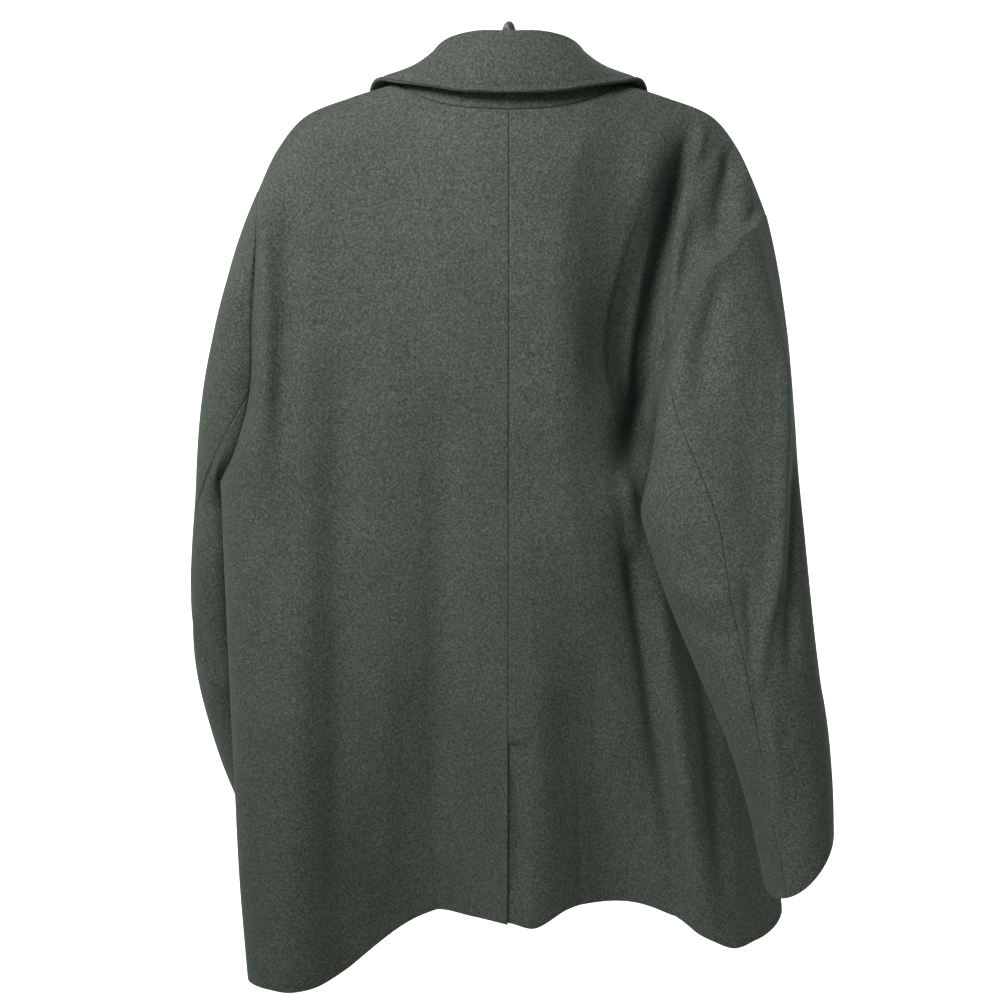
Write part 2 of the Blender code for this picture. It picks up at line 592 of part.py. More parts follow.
def seam_normals(normal_a, normal_b, into_a, into_b):
    """The normals two sewn pieces share. Where they nearly close up, these face out of the crease."""
    closing = np.maximum(0.0, -np.sum(normal_a * normal_b, axis=-1, keepdims=True))
    return unit(normal_a + normal_b + 2 * closing * (unit(into_a) + unit(into_b)))


def build_body_and_sleeves(wool):
    backs, fronts, back_normals, front_normals = {}, {}, {}, {}
    for side in SIDES:
        backs[side] = mirror_to(side, back_panel(side))
        fronts[side] = front_panel(side)
        if side == "right":
            fronts[side] = tuck_under(fronts[side], fronts["left"])
        fronts[side] = mirror_to(side, fronts[side])
        back_normals[side] = surface_normals(backs[side], np.array([0.0, 1.0, 0.0]))
        front_normals[side] = surface_normals(fronts[side], np.array([0.0, -1.0, 0.0]))
    share_edge(back_normals["left"], np.s_[:, 0], back_normals["right"], np.s_[:, 0])
    for side in SIDES:
        back_normals[side][:, 0, 0] = 0.0
        back_normals[side][:, 0] = unit(back_normals[side][:, 0])
    for side in SIDES:
        share_edge(back_normals[side], np.s_[0, NECK_COLUMNS:], front_normals[side],
                   np.s_[0, FRONT_NECK_COLUMNS:])
        share_edge(back_normals[side], np.s_[ARMHOLE_ROWS:, -1], front_normals[side],
                   np.s_[ARMHOLE_ROWS:, -1])
    build_collar(backs, fronts, back_normals, front_normals, wool)
    for side in SIDES:
        build_sleeve(side, backs, fronts, back_normals, front_normals, wool)
    for side in SIDES:
        front = inset(fronts[side], front_normals[side], ("top", "last"), SEAM_GAP / 2)
        cloth_wall("front_" + side, front, front_normals[side], CLOTH, wool)
        build_lapel(side, fronts[side], front_normals[side], wool)
    left = inset(backs["left"], back_normals["left"], ("top", "first", "last"), SEAM_GAP / 2)
    cloth_wall("back_left", left, back_normals["left"], CLOTH, wool)
    right = inset(backs["right"], back_normals["right"], ("top", "first", "last"), SEAM_GAP / 2)
    right = mirror_to("right", right)
    wide, present = with_vent(right, backs["left"], back_normals["left"])
    laps = len(VENT_LAPS)
    lap_normals = np.repeat(back_normals["left"][:, :1], laps, axis=1)
    wide_normal = np.concatenate([lap_normals, back_normals["right"]], axis=1)
    cloth_wall("back_right", wide * np.array([-1.0, 1.0, 1.0]), wide_normal, CLOTH, wool, present)
    return fronts, front_normals


def build_sleeve(side, backs, fronts, back_normals, front_normals, wool):
    sleeve, seam, front_seam = sleeve_grid(side, mirror_to(side, backs[side]), mirror_to(side, fronts[side]))
    sleeve = mirror_to(side, sleeve)
    normal = tube_normals(sleeve)
    armhole_normals = np.concatenate([
        back_normals[side][:ARMHOLE_ROWS + 1, -1], front_normals[side][:ARMHOLE_ROWS, -1][::-1]])
    armhole_inside = np.concatenate([
        backs[side][:ARMHOLE_ROWS + 1, -2], fronts[side][:ARMHOLE_ROWS, -2][::-1]])
    mean = seam_normals(armhole_normals, normal[0], armhole_inside - sleeve[0], sleeve[1] - sleeve[0])
    mean[0] = mean[-1] = unit(mean[0] + mean[-1])
    mean[ARMHOLE_ROWS] = unit(mean[ARMHOLE_ROWS] * UNDERARM_FACING)
    normal[0] = mean
    back_normals[side][:ARMHOLE_ROWS + 1, -1] = mean[:ARMHOLE_ROWS + 1]
    front_normals[side][:ARMHOLE_ROWS + 1, -1] = mean[ARMHOLE_ROWS:][::-1]
    for piece, columns in (
        ("under", list(range(seam, front_seam + 1))),
        ("top", list(range(front_seam, 2 * ARMHOLE_ROWS)) + list(range(0, seam + 1))),
    ):
        own_normal = normal[:, columns]
        grid = inset(sleeve[:, columns], own_normal, ("top", "first", "last"), SEAM_GAP / 2)
        cloth_wall(f"sleeve_{piece}_{side}", grid, own_normal, CLOTH, wool)


def build_lapel(side, front, front_normal, wool):
    """The lapel lies on the front: its points are the front's, moved out."""
    points, normals = [], []
    widths = np.array(LAPEL_WIDTH)
    for share in np.linspace(0.0, 1.0, LAPEL_ROWS + 1):
        width = smooth_read(widths[:, 0], widths[:, 1], share)[0]
        point_row, normal_row = [], []
        for across in np.linspace(0.0, 1.0, LAPEL_COLUMNS + 1):
            row = LAPEL_TOP + (LAPEL_END - LAPEL_TOP) * share + GORGE_DROP * across * (1 - share)
            low = int(row)
            part = row - low
            at_low = read_row(front[low], front_normal[low], width * across)
            at_high = read_row(front[low + 1], front_normal[low + 1], width * across)
            point_row.append(at_low[0] * (1 - part) + at_high[0] * part)
            normal_row.append(at_low[1] * (1 - part) + at_high[1] * part)
        points.append(point_row)
        normals.append(normal_row)
    normals = unit(np.array(normals))
    outer = np.array(points) + normals * (LAPEL_SEAT + CLOTH)
    cloth_wall("lapel_" + side, outer, normals, CLOTH, wool)


def tube_normals(tube):
    """Normals of a grid whose last column lies on its first."""
    across = np.zeros_like(tube)
    across[:, 1:-1] = tube[:, 2:] - tube[:, :-2]
    across[:, 0] = across[:, -1] = tube[:, 1] - tube[:, -2]
    normal = unit(np.cross(np.gradient(tube, axis=0), across))
    middle = tube.mean(axis=1, keepdims=True)
    return normal if np.sum(normal[3:] * (tube - middle)[3:]) > 0 else -normal


def build_collar(backs, fronts, back_normals, front_normals, wool):
    """The stand is sewn to the neckline and the fall turns over it."""
    halves, half_normals = {}, {}
    for side in SIDES:
        neck = np.s_[0, :NECK_COLUMNS + 1]
        front_neck = np.s_[0, FRONT_NECK_COLUMNS - 1::-1]
        halves[side] = np.concatenate([backs[side][neck], fronts[side][front_neck]])
        half_normals[side] = np.concatenate([back_normals[side][neck], front_normals[side][front_neck]])
    foot = np.concatenate([halves["right"][:0:-1], halves["left"]])
    foot_normals = np.concatenate([half_normals["right"][:0:-1], half_normals["left"]])
    half_run = np.concatenate([[0.0], np.cumsum(np.linalg.norm(np.diff(halves["left"], axis=0), axis=1))])
    shares = half_run / half_run[-1]
    fold = on_both_sides(run_through(COLLAR_FOLD, shares))
    edge = on_both_sides(run_through(COLLAR_EDGE, shares))
    out = unit((edge - fold) * np.array([1.0, 1.0, 0.0]))
    up = np.array([0.0, 0.0, 1.0])
    facings = [out * math.cos(turn) + up * math.sin(turn) for turn in np.radians(FOLD_TURNS)]
    rows = [fold + FOLD_RADIUS * facing for facing in facings]
    start = rows[-1]
    fullness = FALL_CROWN * np.maximum(0.0, 1 - np.abs(fold[:, :1]) / FALL_CROWN_REACH)
    for t in np.linspace(0, 1, FALL_ROWS + 1)[1:]:
        swell = fullness * 4 * t * (1 - t)
        rows.append(start + (edge - start) * t + (out * FALL_LEAN[0] + up * FALL_LEAN[1]) * swell)
    fall = np.array(rows)
    fall_normals = surface_normals(fall, up)
    fall_normals[:len(facings)] = facings
    cloth_wall("collar_fall", fall, fall_normals, COLLAR_CLOTH, wool)
    top = fold - out * (FOLD_RADIUS - COLLAR_CLOTH) - up * 2 * SEAM_GAP
    stand = np.array([top + (foot - top) * t for t in np.linspace(0, 1, STAND_ROWS + 1)])
    normal = surface_normals(stand, out[None, :, :])
    normal[-1] = unit((1 - STAND_LEAN) * normal[-1] + STAND_LEAN * foot_normals)
    cloth_wall("collar_stand", inset(stand, normal, ("bottom",), SEAM_GAP), normal, CLOTH, wool)
    count = len(halves["left"])
    for side, shared in (("left", normal[-1][count - 1:]), ("right", normal[-1][:count][::-1])):
        back_normals[side][0, :NECK_COLUMNS + 1] = shared[:NECK_COLUMNS + 1]
        front_normals[side][0, :FRONT_NECK_COLUMNS + 1] = shared[NECK_COLUMNS:][::-1]


def on_both_sides(half):
    return np.concatenate([(half * np.array([-1.0, 1.0, 1.0]))[:0:-1], half])


def build_hanger(plastic):
    """A plain round hanger: its arms lie just under the cloth of the shoulder line."""
    arm = list(HANGER_ARM)
    for out, back, height in SHOULDER["left"][:2]:
        arm.append((out, back, height - HANGER_DROP))
    arm.append(HANGER_TIP)
    line = run_through(arm, np.linspace(0, 1, 14))
    line = on_both_sides(line)
    curve = bpy.data.curves.new("hanger", "CURVE")
    curve.dimensions = "3D"
    curve.bevel_depth = HANGER_RADIUS
    curve.bevel_resolution = 2
    curve.use_fill_caps = True
    spline = curve.splines.new("POLY")
    spline.points.add(len(line) - 1)
    for point, place in zip(spline.points, line):
        point.co = (*place, 1.0)
    curve.materials.append(plastic)
    piece = bpy.data.objects.new("hanger", curve)
    bpy.context.scene.collection.objects.link(piece)


def build_buttons(front, normal, plastic):
    """Sew-through buttons down the centre front."""
    for number, height in enumerate(BUTTON_HEIGHTS, start=1):
        rows = front[:, :, 2].mean(axis=1)
        at = np.interp(-height, -rows, np.arange(len(rows)))
        low = int(at)
        point, facing = read_row(front[low], normal[low], FRONT_OVERLAP)
        beyond, _ = read_row(front[low + 1], normal[low + 1], FRONT_OVERLAP)
        seat = point * (1 - (at - low)) + beyond * (at - low)
        mesh = bmesh.new()
        rings = []
        for radius, rise in BUTTON_PROFILE:
            ring = []
            for k in range(BUTTON_SIDES):
                turn = 2 * math.pi * k / BUTTON_SIDES
                ring.append(mesh.verts.new((BUTTON_RADIUS * radius * math.cos(turn),
                                            -BUTTON_THICKNESS * rise,
                                            BUTTON_RADIUS * radius * math.sin(turn))))
            rings.append(ring)
        for ring, following in zip(rings, rings[1:]):
            for k in range(BUTTON_SIDES):
                n = (k + 1) % BUTTON_SIDES
                mesh.faces.new((ring[k], ring[n], following[n], following[k]))
        mesh.faces.new(rings[0])
        mesh.faces.new(rings[-1])
        button = add_object(f"button_{number}", mesh, plastic)
        button.location = Vector(seat) + Vector(facing) * BUTTON_SEAT


def build_hook(metal):
    curve = bpy.data.curves.new("hook", "CURVE")
    curve.dimensions = "3D"
    curve.bevel_depth = HOOK_ROD
    curve.bevel_resolution = 2
    curve.use_fill_caps = True
    middle = -HOOK_INNER
    radius = HOOK_INNER + HOOK_ROD
    foot = HANGER_ARM[0][2] + HANGER_RADIUS + SEAM_GAP
    path = [(0.0, foot), (0.0, foot + 0.008)]
    for degrees in range(-35, 196, 11):
        turn = math.radians(degrees)
        path.append((radius * math.cos(turn), middle + radius * math.sin(turn)))
    line = run_through([(x * math.sin(HOOK_TURN), x * math.cos(HOOK_TURN), z) for x, z in path],
                       np.linspace(0, 1, 33))
    spline = curve.splines.new("POLY")
    spline.points.add(len(line) - 1)
    for point, place in zip(spline.points, line):
        point.co = (*place, 1.0)
    piece = bpy.data.objects.new("hook", curve)
    curve.materials.append(metal)
    bpy.context.scene.collection.objects.link(piece)


def main():
    clear_scene()
    wool = make_material("melton wool", (0.045, 0.055, 0.052), 0.95)
    steel = make_material("black coated steel", (0.010, 0.010, 0.010), 0.4)
    plastic = make_material("black plastic", (0.012, 0.012, 0.012), 0.45)
    horn = make_material("dark button resin", (0.020, 0.022, 0.021), 0.35)
    fronts, front_normals = build_body_and_sleeves(wool)
    build_buttons(fronts["left"], front_normals["left"], horn)
    build_hanger(plastic)
    build_hook(steel)


main()
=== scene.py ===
# %% [markdown]
# # A wool overcoat on a hanger
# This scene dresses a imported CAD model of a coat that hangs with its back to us. The model is the frame: it
# says where every piece is and how big it is, and nothing in it is moved here. Each panel of the coat is then
# made again as finer cloth on the same lines, given its creases, and covered in a wool material.

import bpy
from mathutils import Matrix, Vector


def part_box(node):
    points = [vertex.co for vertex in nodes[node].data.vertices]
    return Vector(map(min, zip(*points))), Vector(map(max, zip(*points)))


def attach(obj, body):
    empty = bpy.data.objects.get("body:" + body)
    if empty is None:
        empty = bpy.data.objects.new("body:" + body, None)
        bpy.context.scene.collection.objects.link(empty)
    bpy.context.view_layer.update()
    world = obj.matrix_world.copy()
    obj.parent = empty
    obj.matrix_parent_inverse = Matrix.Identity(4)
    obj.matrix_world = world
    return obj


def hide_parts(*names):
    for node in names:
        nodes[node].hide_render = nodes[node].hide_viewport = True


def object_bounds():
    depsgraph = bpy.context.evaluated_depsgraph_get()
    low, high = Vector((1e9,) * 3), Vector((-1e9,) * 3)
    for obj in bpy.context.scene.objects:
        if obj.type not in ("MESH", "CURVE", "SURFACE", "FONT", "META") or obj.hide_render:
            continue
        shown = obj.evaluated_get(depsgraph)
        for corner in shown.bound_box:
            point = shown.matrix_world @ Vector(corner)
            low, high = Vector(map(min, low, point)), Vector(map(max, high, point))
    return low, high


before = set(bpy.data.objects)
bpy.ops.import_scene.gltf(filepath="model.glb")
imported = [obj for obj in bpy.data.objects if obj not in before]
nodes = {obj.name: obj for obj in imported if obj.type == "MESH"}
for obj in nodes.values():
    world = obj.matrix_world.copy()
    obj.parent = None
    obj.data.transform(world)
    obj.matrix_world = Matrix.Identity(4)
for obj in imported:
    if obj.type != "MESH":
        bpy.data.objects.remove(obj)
cad_box = [list(corner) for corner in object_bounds()]

import math

import bmesh
import bpy
import numpy as np
from mathutils import Matrix, Vector, kdtree

print("nodes of the frame:", ", ".join(sorted(nodes)))
print("height of the coat and its hanger:", round(cad_box[1][2] - cad_box[0][2], 3), "m")

# %% [markdown]
# ## The camera
# The coat hangs by the hook at the frame's origin, and was photographed from behind and from a little above.
# The camera stands at the same place, 1.45 m away and tilted 15 degrees down. A lens of 50 mm on a 36 mm
# sensor gives the same narrowing towards the hem.

# %% The camera
def new_object(name, data):
    """Make an object from its data and put it into the scene."""
    made = bpy.data.objects.new(name, data)
    bpy.context.scene.collection.objects.link(made)
    return made


CAMERA_PLACE = (0.0083, 1.4006, -0.0881)
CAMERA_TILT = math.radians(15)
camera_data = bpy.data.cameras.new("camera")
camera_data.lens = 50.4
camera_data.sensor_width = 36.0
camera = new_object("camera", camera_data)
camera.location = CAMERA_PLACE
camera.rotation_euler = (math.radians(90) - CAMERA_TILT, 0.0, math.radians(180))
bpy.context.scene.camera = camera
print("camera looks down by", round(math.degrees(CAMERA_TILT)), "degrees")

# %% [markdown]
# ## Sizes of the cloth
# A heavy melton wool is about 3 mm thick. A panel is a grid of points: rows run down the cloth and columns
# run across it. Six times as many rows and columns as the CAD model has make the cloth smooth at arm's
# length.

# %% Sizes of the cloth
FINE = 6  # rows and columns for each one of the CAD model
CLOTH = 0.003  # heavy melton wool
COLLAR_CLOTH = 0.004  # two layers, pressed
SEAM_GAP = 0.0003
ARMHOLE_ROWS = 12 * FINE
NECK_COLUMNS = 6 * FINE
FRONT_NECK_COLUMNS = 5 * FINE
SHOULDER_COLUMNS = 10 * FINE
CLOSE_UP = 1.33
BACK_SEAM_COLUMN = {"left": 8 * FINE, "right": 6 * FINE}
CUFF_ROWS = 9 * FINE
SLEEVE_HEAD_ROWS = 7 * FINE
UNDERARM_FACING = np.array([1.0, 0.0, 1.0])  # the underarm's seam faces neither front nor back
UNDERARM_LEAVE = np.array([0.9, 0.0, 0.0])  # the way the sleeve leaves the underarm
UNDERARM_AIM = 0.35  # and how much it turns from there to the sleeve's first ring
HEAD_LEAVE = {"left": (0.45, 0.0, -0.89), "right": (0.30, 0.0, -0.95)}  # the way it leaves the shoulder point
HEAD_FLARE = (0.10, 0.15, 0.10)  # added half way down the armhole: out, to the back or front, and up
HEAD_FREE = 0.35  # above this share of the armhole's height the sleeve head leaves it in its own way
HANG_BACK = {"left": 0.0, "right": 1.0}  # the right sleeve hangs behind the body and folds over its own seam
HANG_BACK_LEAVE = np.array([-0.35, 0.85, -0.40])  # the way it leaves the seam there
HANG_BACK_COLUMNS = (4.0 * FINE, 7.0 * FINE, 9.0 * FINE, 12.0 * FINE)  # where round the armhole it does so
CHEST_HEIGHT = -0.437  # level of the underarm
SEAM_TAKES_OVER = 0.80  # beyond this share of the way across, the skirt's rows turn to meet the side seam
VENT_TOP = 0.547  # share of the way from chest to hem
VENT_UNDERLAP = 0.034
VENT_STEP = 0.0041  # the underlap lies this much deeper
SIDE_ROUND = 3.0  # how late the depth turns towards the armhole, as a power
TOP_ROUND = 0.55  # how soon it fills below the shoulder
VENT_LAPS = (1.0, 0.86, 0.72, 0.58, 0.44, 0.30, 0.15)
COARSE_ROWS = (0.0, 0.06, 0.14, 0.23, 0.33, 0.44, VENT_TOP, 0.587, 0.68, 0.78, 0.89, 1.0)
SKIRT_ROWS = tuple(np.interp(np.arange(11 * FINE + 1) / FINE, np.arange(12), COARSE_ROWS))
FRONT_OVERLAP = 0.020  # each front edge passes the centre by this much
FRONT_STEP = 0.0044  # the under front lies this much deeper
SIDES = {"left": 1.0, "right": -1.0}
MIRROR = np.array([-1.0, 1.0, 1.0])
print("rows down a back panel:", ARMHOLE_ROWS + len(SKIRT_ROWS))

# %% [markdown]
# ## The lines of the coat
# A tailor would give the cut. Here each line is where the sewn cloth hangs: so far out from the middle, so
# far behind the hook, and so high. Distances out are positive on both sides, and the wearer's right side is
# mirrored when it is built. The right shoulder hangs lower and forward, so its armhole has its own row.

# %% Lines of the body
CENTRE_BACK = ((0.0, 0.060, -0.074), (0.0, 0.074, -0.120), (0.0, 0.084, -0.200), (0.0, 0.088, -0.310),
               (0.0, 0.085, CHEST_HEIGHT))
BACK_NECK = ((0.0, 0.060, -0.074), (0.040, 0.056, -0.072), (0.075, 0.042, -0.065), (0.094, 0.026, -0.056),
             (0.105, 0.010, -0.049))
FRONT_NECK = ((0.050, -0.062, -0.105), (0.070, -0.047, -0.084), (0.092, -0.022, -0.062),
              (0.105, 0.010, -0.049))
SHOULDER = {
    "left": ((0.105, 0.010, -0.049), (0.150, 0.007, -0.062), (0.200, 0.003, -0.083), (0.224, 0.002, -0.111),
             (0.245, 0.0, -0.150)),
    "right": ((0.105, 0.010, -0.049), (0.150, 0.007, -0.062), (0.200, 0.003, -0.083), (0.223, 0.002, -0.111),
              (0.238, 0.001, -0.139), (0.253, 0.0, -0.172)),
}
ARMHOLE_BACK = {
    "left": ((0.245, 0.0, -0.150), (0.241, 0.045, -0.178), (0.246, 0.060, -0.260), (0.253, 0.056, -0.340),
             (0.272, 0.046, -0.400), (0.292, 0.020, -0.437)),
    "right": ((0.253, 0.0, -0.172), (0.232, 0.040, -0.180), (0.203, 0.056, -0.200), (0.175, 0.068, -0.250),
              (0.157, 0.070, -0.300), (0.148, 0.064, -0.340), (0.155, 0.043, -0.378), (0.194, 0.004, -0.414),
              (0.250, -0.024, -0.440)),
}
ARMHOLE_FRONT = {
    "left": ((0.245, 0.0, -0.150), (0.238, -0.040, -0.185), (0.232, -0.058, -0.260), (0.238, -0.056, -0.340),
             (0.262, -0.028, -0.405), (0.292, 0.020, -0.437)),
    "right": ((0.253, 0.0, -0.172), (0.248, -0.042, -0.205), (0.243, -0.062, -0.270), (0.248, -0.064, -0.340),
              (0.256, -0.050, -0.405), (0.250, -0.024, -0.440)),
}
ROLL_LINE = ((0.050, -0.062, -0.105), (0.036, -0.077, -0.200), (0.008, -0.086, -0.320),
             (-FRONT_OVERLAP, -0.087, -0.365), (-FRONT_OVERLAP, -0.085, CHEST_HEIGHT))

# %% Side seams and sections of the skirt
# side seam: share of the way down the skirt, out, back, height
SIDE_SEAM = {
    "left": ((0.0, 0.292, 0.020, -0.437), (0.25, 0.290, 0.036, -0.570), (0.55, 0.289, 0.044, -0.730),
             (0.80, 0.287, 0.056, -0.868), (1.0, 0.280, 0.075, -0.978)),
    "right": ((0.0, 0.250, -0.024, -0.440), (0.18, 0.272, -0.028, -0.530), (0.35, 0.283, -0.026, -0.612),
              (0.55, 0.287, -0.018, -0.708), (0.78, 0.294, -0.004, -0.820), (1.0, 0.304, 0.020, -0.924)),
}
# how far the cloth stands behind the hook, for each place across (share of the side seam's distance)
BACK_SECTIONS = {
    "left": {
        "across": (0.0, 0.14, 0.29, 0.44, 0.58, 0.70, 0.79, 0.90),
        "down": (
            (0.00, (0.085, 0.086, 0.084, 0.081, 0.078, 0.077, 0.075, 0.064)),
            (0.25, (0.088, 0.084, 0.083, 0.085, 0.088, 0.090, 0.088, 0.078)),
            (0.55, (0.086, 0.076, 0.070, 0.078, 0.094, 0.102, 0.101, 0.090)),
            (0.80, (0.083, 0.066, 0.054, 0.062, 0.088, 0.106, 0.110, 0.100)),
            (1.00, (0.080, 0.058, 0.040, 0.050, 0.080, 0.108, 0.118, 0.112)),
        ),
        "hem": (-0.911, -0.914, -0.917, -0.935, -0.959, -0.965, -0.965, -0.966),
    },
    "right": {
        "across": (0.0, 0.08, 0.22, 0.33, 0.46, 0.54, 0.62, 0.70, 0.78, 0.88),
        "down": (
            (0.00, (0.085, 0.086, 0.086, 0.083, 0.074, 0.058, 0.034, 0.012, -0.002, -0.010)),
            (0.18, (0.088, 0.088, 0.085, 0.080, 0.060, 0.045, 0.026, 0.010, 0.002, -0.004)),
            (0.35, (0.088, 0.087, 0.081, 0.073, 0.057, 0.050, 0.038, 0.020, 0.008, 0.000)),
            (0.55, (0.087, 0.086, 0.074, 0.066, 0.060, 0.049, 0.055, 0.047, 0.028, 0.006)),
            (0.78, (0.084, 0.086, 0.070, 0.053, 0.050, 0.052, 0.062, 0.064, 0.050, 0.026)),
            (1.00, (0.080, 0.090, 0.070, 0.045, 0.040, 0.055, 0.078, 0.092, 0.094, 0.070)),
        ),
        "hem": (-0.911, -0.910, -0.898, -0.904, -0.906, -0.904, -0.913, -0.920, -0.929, -0.935),
    },
}
FRONT_SECTIONS = {
    "left": {
        "across": (0.0, 0.30, 0.60, 0.80, 0.92),
        "down": (
            (0.0, (-0.085, -0.080, -0.063, -0.038, -0.008)),
            (0.5, (-0.088, -0.080, -0.062, -0.036, -0.002)),
            (1.0, (-0.085, -0.072, -0.060, -0.030, 0.018)),
        ),
        "hem": (-0.925, -0.930, -0.944, -0.958, -0.970),
    },
    "right": {
        "across": (0.0, 0.30, 0.60, 0.80, 0.92),
        "down": (
            (0.0, (-0.085, -0.083, -0.078, -0.070, -0.060)),
            (0.5, (-0.088, -0.084, -0.077, -0.067, -0.054)),
            (1.0, (-0.085, -0.078, -0.068, -0.048, -0.024)),
        ),
        "hem": (-0.925, -0.922, -0.922, -0.924, -0.925),
    },
}

# %% Large folds and sleeves
FOLD_END = 0.045  # the length over which a fold fades
QUIET_EDGE = 0.93  # beyond this share of the way to the seam a panel's folds fade
QUIET_TOP = 0.12  # and above this share of the way down the armhole
# soft folds: out and height at the top, middle and foot of the fold, half width on the centre's side and on
# the sleeve's side, depth (minus is a trough)
FOLDS = {
    "back_left": (
        ("seam ridge", 0.232, -0.170, 0.236, -0.270, 0.236, -0.420, 0.016, 0.016, 0.004),
        ("inner valley", 0.212, -0.130, 0.214, -0.260, 0.222, -0.420, 0.018, 0.018, -0.006),
        ("long valley", 0.165, -0.300, 0.168, -0.600, 0.172, -0.960, 0.026, 0.026, -0.006),
        ("middle valley", 0.066, -0.330, 0.068, -0.500, 0.070, -0.780, 0.030, 0.030, -0.004),
        ("flank ridge", 0.215, -0.520, 0.225, -0.740, 0.232, -1.000, 0.030, 0.030, 0.004),
    ),
    "back_right": (
        ("overlapping fold", 0.176, -0.118, 0.149, -0.205, 0.128, -0.420, 0.042, 0.009, -0.013),
        ("roll beside it", 0.190, -0.130, 0.163, -0.205, 0.146, -0.320, 0.010, 0.014, 0.005),
        ("hollow by the centre", 0.060, -0.480, 0.075, -0.680, 0.095, -0.900, 0.030, 0.030, -0.004),
    ),
    "front_left": (("front valley", 0.150, -0.500, 0.155, -0.700, 0.160, -0.940, 0.030, 0.030, -0.006),),
    "front_right": (("front valley", 0.140, -0.480, 0.150, -0.700, 0.165, -0.940, 0.030, 0.030, -0.006),),
}
# sleeves: height, how far the ring slants up to its outer side, inner and outer distance from the middle,
# middle and half depth front to back, then the angle round the tube of the shoulder line, the back seam, the
# underarm and the front seam (0 = outward)
SLEEVES = {
    "left": (
        (-0.475, 0.000, 0.272, 0.335, -0.064, 0.072, -45.0, 45.0, 112.0, 215.0),
        (-0.530, 0.000, 0.274, 0.343, -0.070, 0.074, -58.0, 10.0, 108.0, 208.0),
        (-0.600, 0.000, 0.274, 0.350, -0.077, 0.074, -65.0, -5.0, 115.0, 205.0),
        (-0.680, 0.000, 0.271, 0.349, -0.084, 0.070, -65.0, -5.0, 115.0, 205.0),
        (-0.750, 0.004, 0.264, 0.340, -0.092, 0.065, -65.0, -5.0, 115.0, 205.0),
        (-0.800, 0.009, 0.257, 0.331, -0.098, 0.062, -65.0, -5.0, 115.0, 205.0),
        (-0.850, 0.016, 0.248, 0.319, -0.104, 0.060, -65.0, -5.0, 115.0, 205.0),
    ),
    "right": (
        (-0.465, 0.000, 0.131, 0.287, 0.090, 0.060, 0.0, 97.0, 287.0, 325.0),
        (-0.520, 0.000, 0.149, 0.294, 0.096, 0.062, 0.0, 100.0, 280.0, 320.0),
        (-0.600, 0.004, 0.184, 0.305, 0.102, 0.064, 0.0, 106.0, 268.0, 312.0),
        (-0.680, 0.012, 0.222, 0.318, 0.108, 0.064, 0.0, 120.0, 255.0, 305.0),
        (-0.750, 0.022, 0.247, 0.325, 0.112, 0.062, 0.0, 126.0, 245.0, 300.0),
        (-0.808, 0.036, 0.264, 0.328, 0.114, 0.059, 0.0, 128.0, 240.0, 298.0),
    ),
}

# %% [markdown]
# ## Curves and surfaces from short tables
# Each line above has only a few points. A cubic through them gives as many as the cloth needs. Between four
# border lines the surface is a Coons patch, the usual way to fill a panel whose edges are known.

# %% Read smooth lines
def smooth_read(knots, values, at):
    """Read a smooth line through the values that a table gives at its knots."""
    knots = np.asarray(knots, float)
    values = np.asarray(values, float)
    flat = values.ndim == 1
    if flat:
        values = values[:, None]
    slopes = np.gradient(values, knots, axis=0)
    at = np.clip(np.atleast_1d(np.asarray(at, float)), knots[0], knots[-1])
    piece = np.clip(np.searchsorted(knots, at, side="right") - 1, 0, len(knots) - 2)
    step = (knots[piece + 1] - knots[piece])[:, None]
    t = ((at - knots[piece]) / step[:, 0])[:, None]
    read = (
        (2 * t**3 - 3 * t**2 + 1) * values[piece]
        + (t**3 - 2 * t**2 + t) * step * slopes[piece]
        + (3 * t**2 - 2 * t**3) * values[piece + 1]
        + (t**3 - t**2) * step * slopes[piece + 1]
    )
    return read[:, 0] if flat else read


def run_through(points, shares):
    """Points of a smooth line through the given ones, at shares of its length."""
    points = np.array(points, float)
    chord = np.concatenate([[0.0], np.cumsum(np.linalg.norm(np.diff(points, axis=0), axis=1))])
    fine = smooth_read(chord, points, np.linspace(0.0, chord[-1], 400))
    along = np.concatenate([[0.0], np.cumsum(np.linalg.norm(np.diff(fine, axis=0), axis=1))])
    return np.column_stack([np.interp(np.asarray(shares) * along[-1], along, fine[:, k]) for k in range(3)])


def smooth_step(low, high, value):
    """0 at low, 1 at high, and an even curve between them."""
    t = np.clip((value - low) / (high - low), 0.0, 1.0)
    return t * t * (3 - 2 * t)


def unit(vectors):
    """The same directions, at length one."""
    return vectors / np.maximum(np.linalg.norm(vectors, axis=-1, keepdims=True), 1e-12)

# %% Fill a panel between its borders
def border_patch(top, bottom, inner, outer, across, down):
    """A surface inside four border lines. The depth swells faster than the plan, as cloth over a shoulder."""
    grid = np.zeros((len(down), len(across), 3))
    for axis in range(3):
        round_off = axis == 1
        u = (1 - (1 - across**SIDE_ROUND) ** (1 / SIDE_ROUND) if round_off else across)[None, :]
        v = ((1 - (1 - down) ** 2) ** TOP_ROUND if round_off else down)[:, None]
        corners = (
            (1 - u) * (1 - v) * top[0, axis]
            + u * (1 - v) * top[-1, axis]
            + (1 - u) * v * bottom[0, axis]
            + u * v * bottom[-1, axis]
        )
        grid[:, :, axis] = (
            (1 - v) * top[None, :, axis]
            + v * bottom[None, :, axis]
            + (1 - u) * inner[:, None, axis]
            + u * outer[:, None, axis]
            - corners
        )
    return grid


def surface_normals(grid, outward):
    """Unit normals of a grid of points, turned to the side where outward says."""
    down = np.gradient(grid, axis=0)
    across = np.gradient(grid, axis=1)
    normal = np.cross(down, across)
    normal /= np.maximum(np.linalg.norm(normal, axis=2, keepdims=True), 1e-12)
    if np.sum(normal * outward) < 0:
        normal = -normal
    return normal


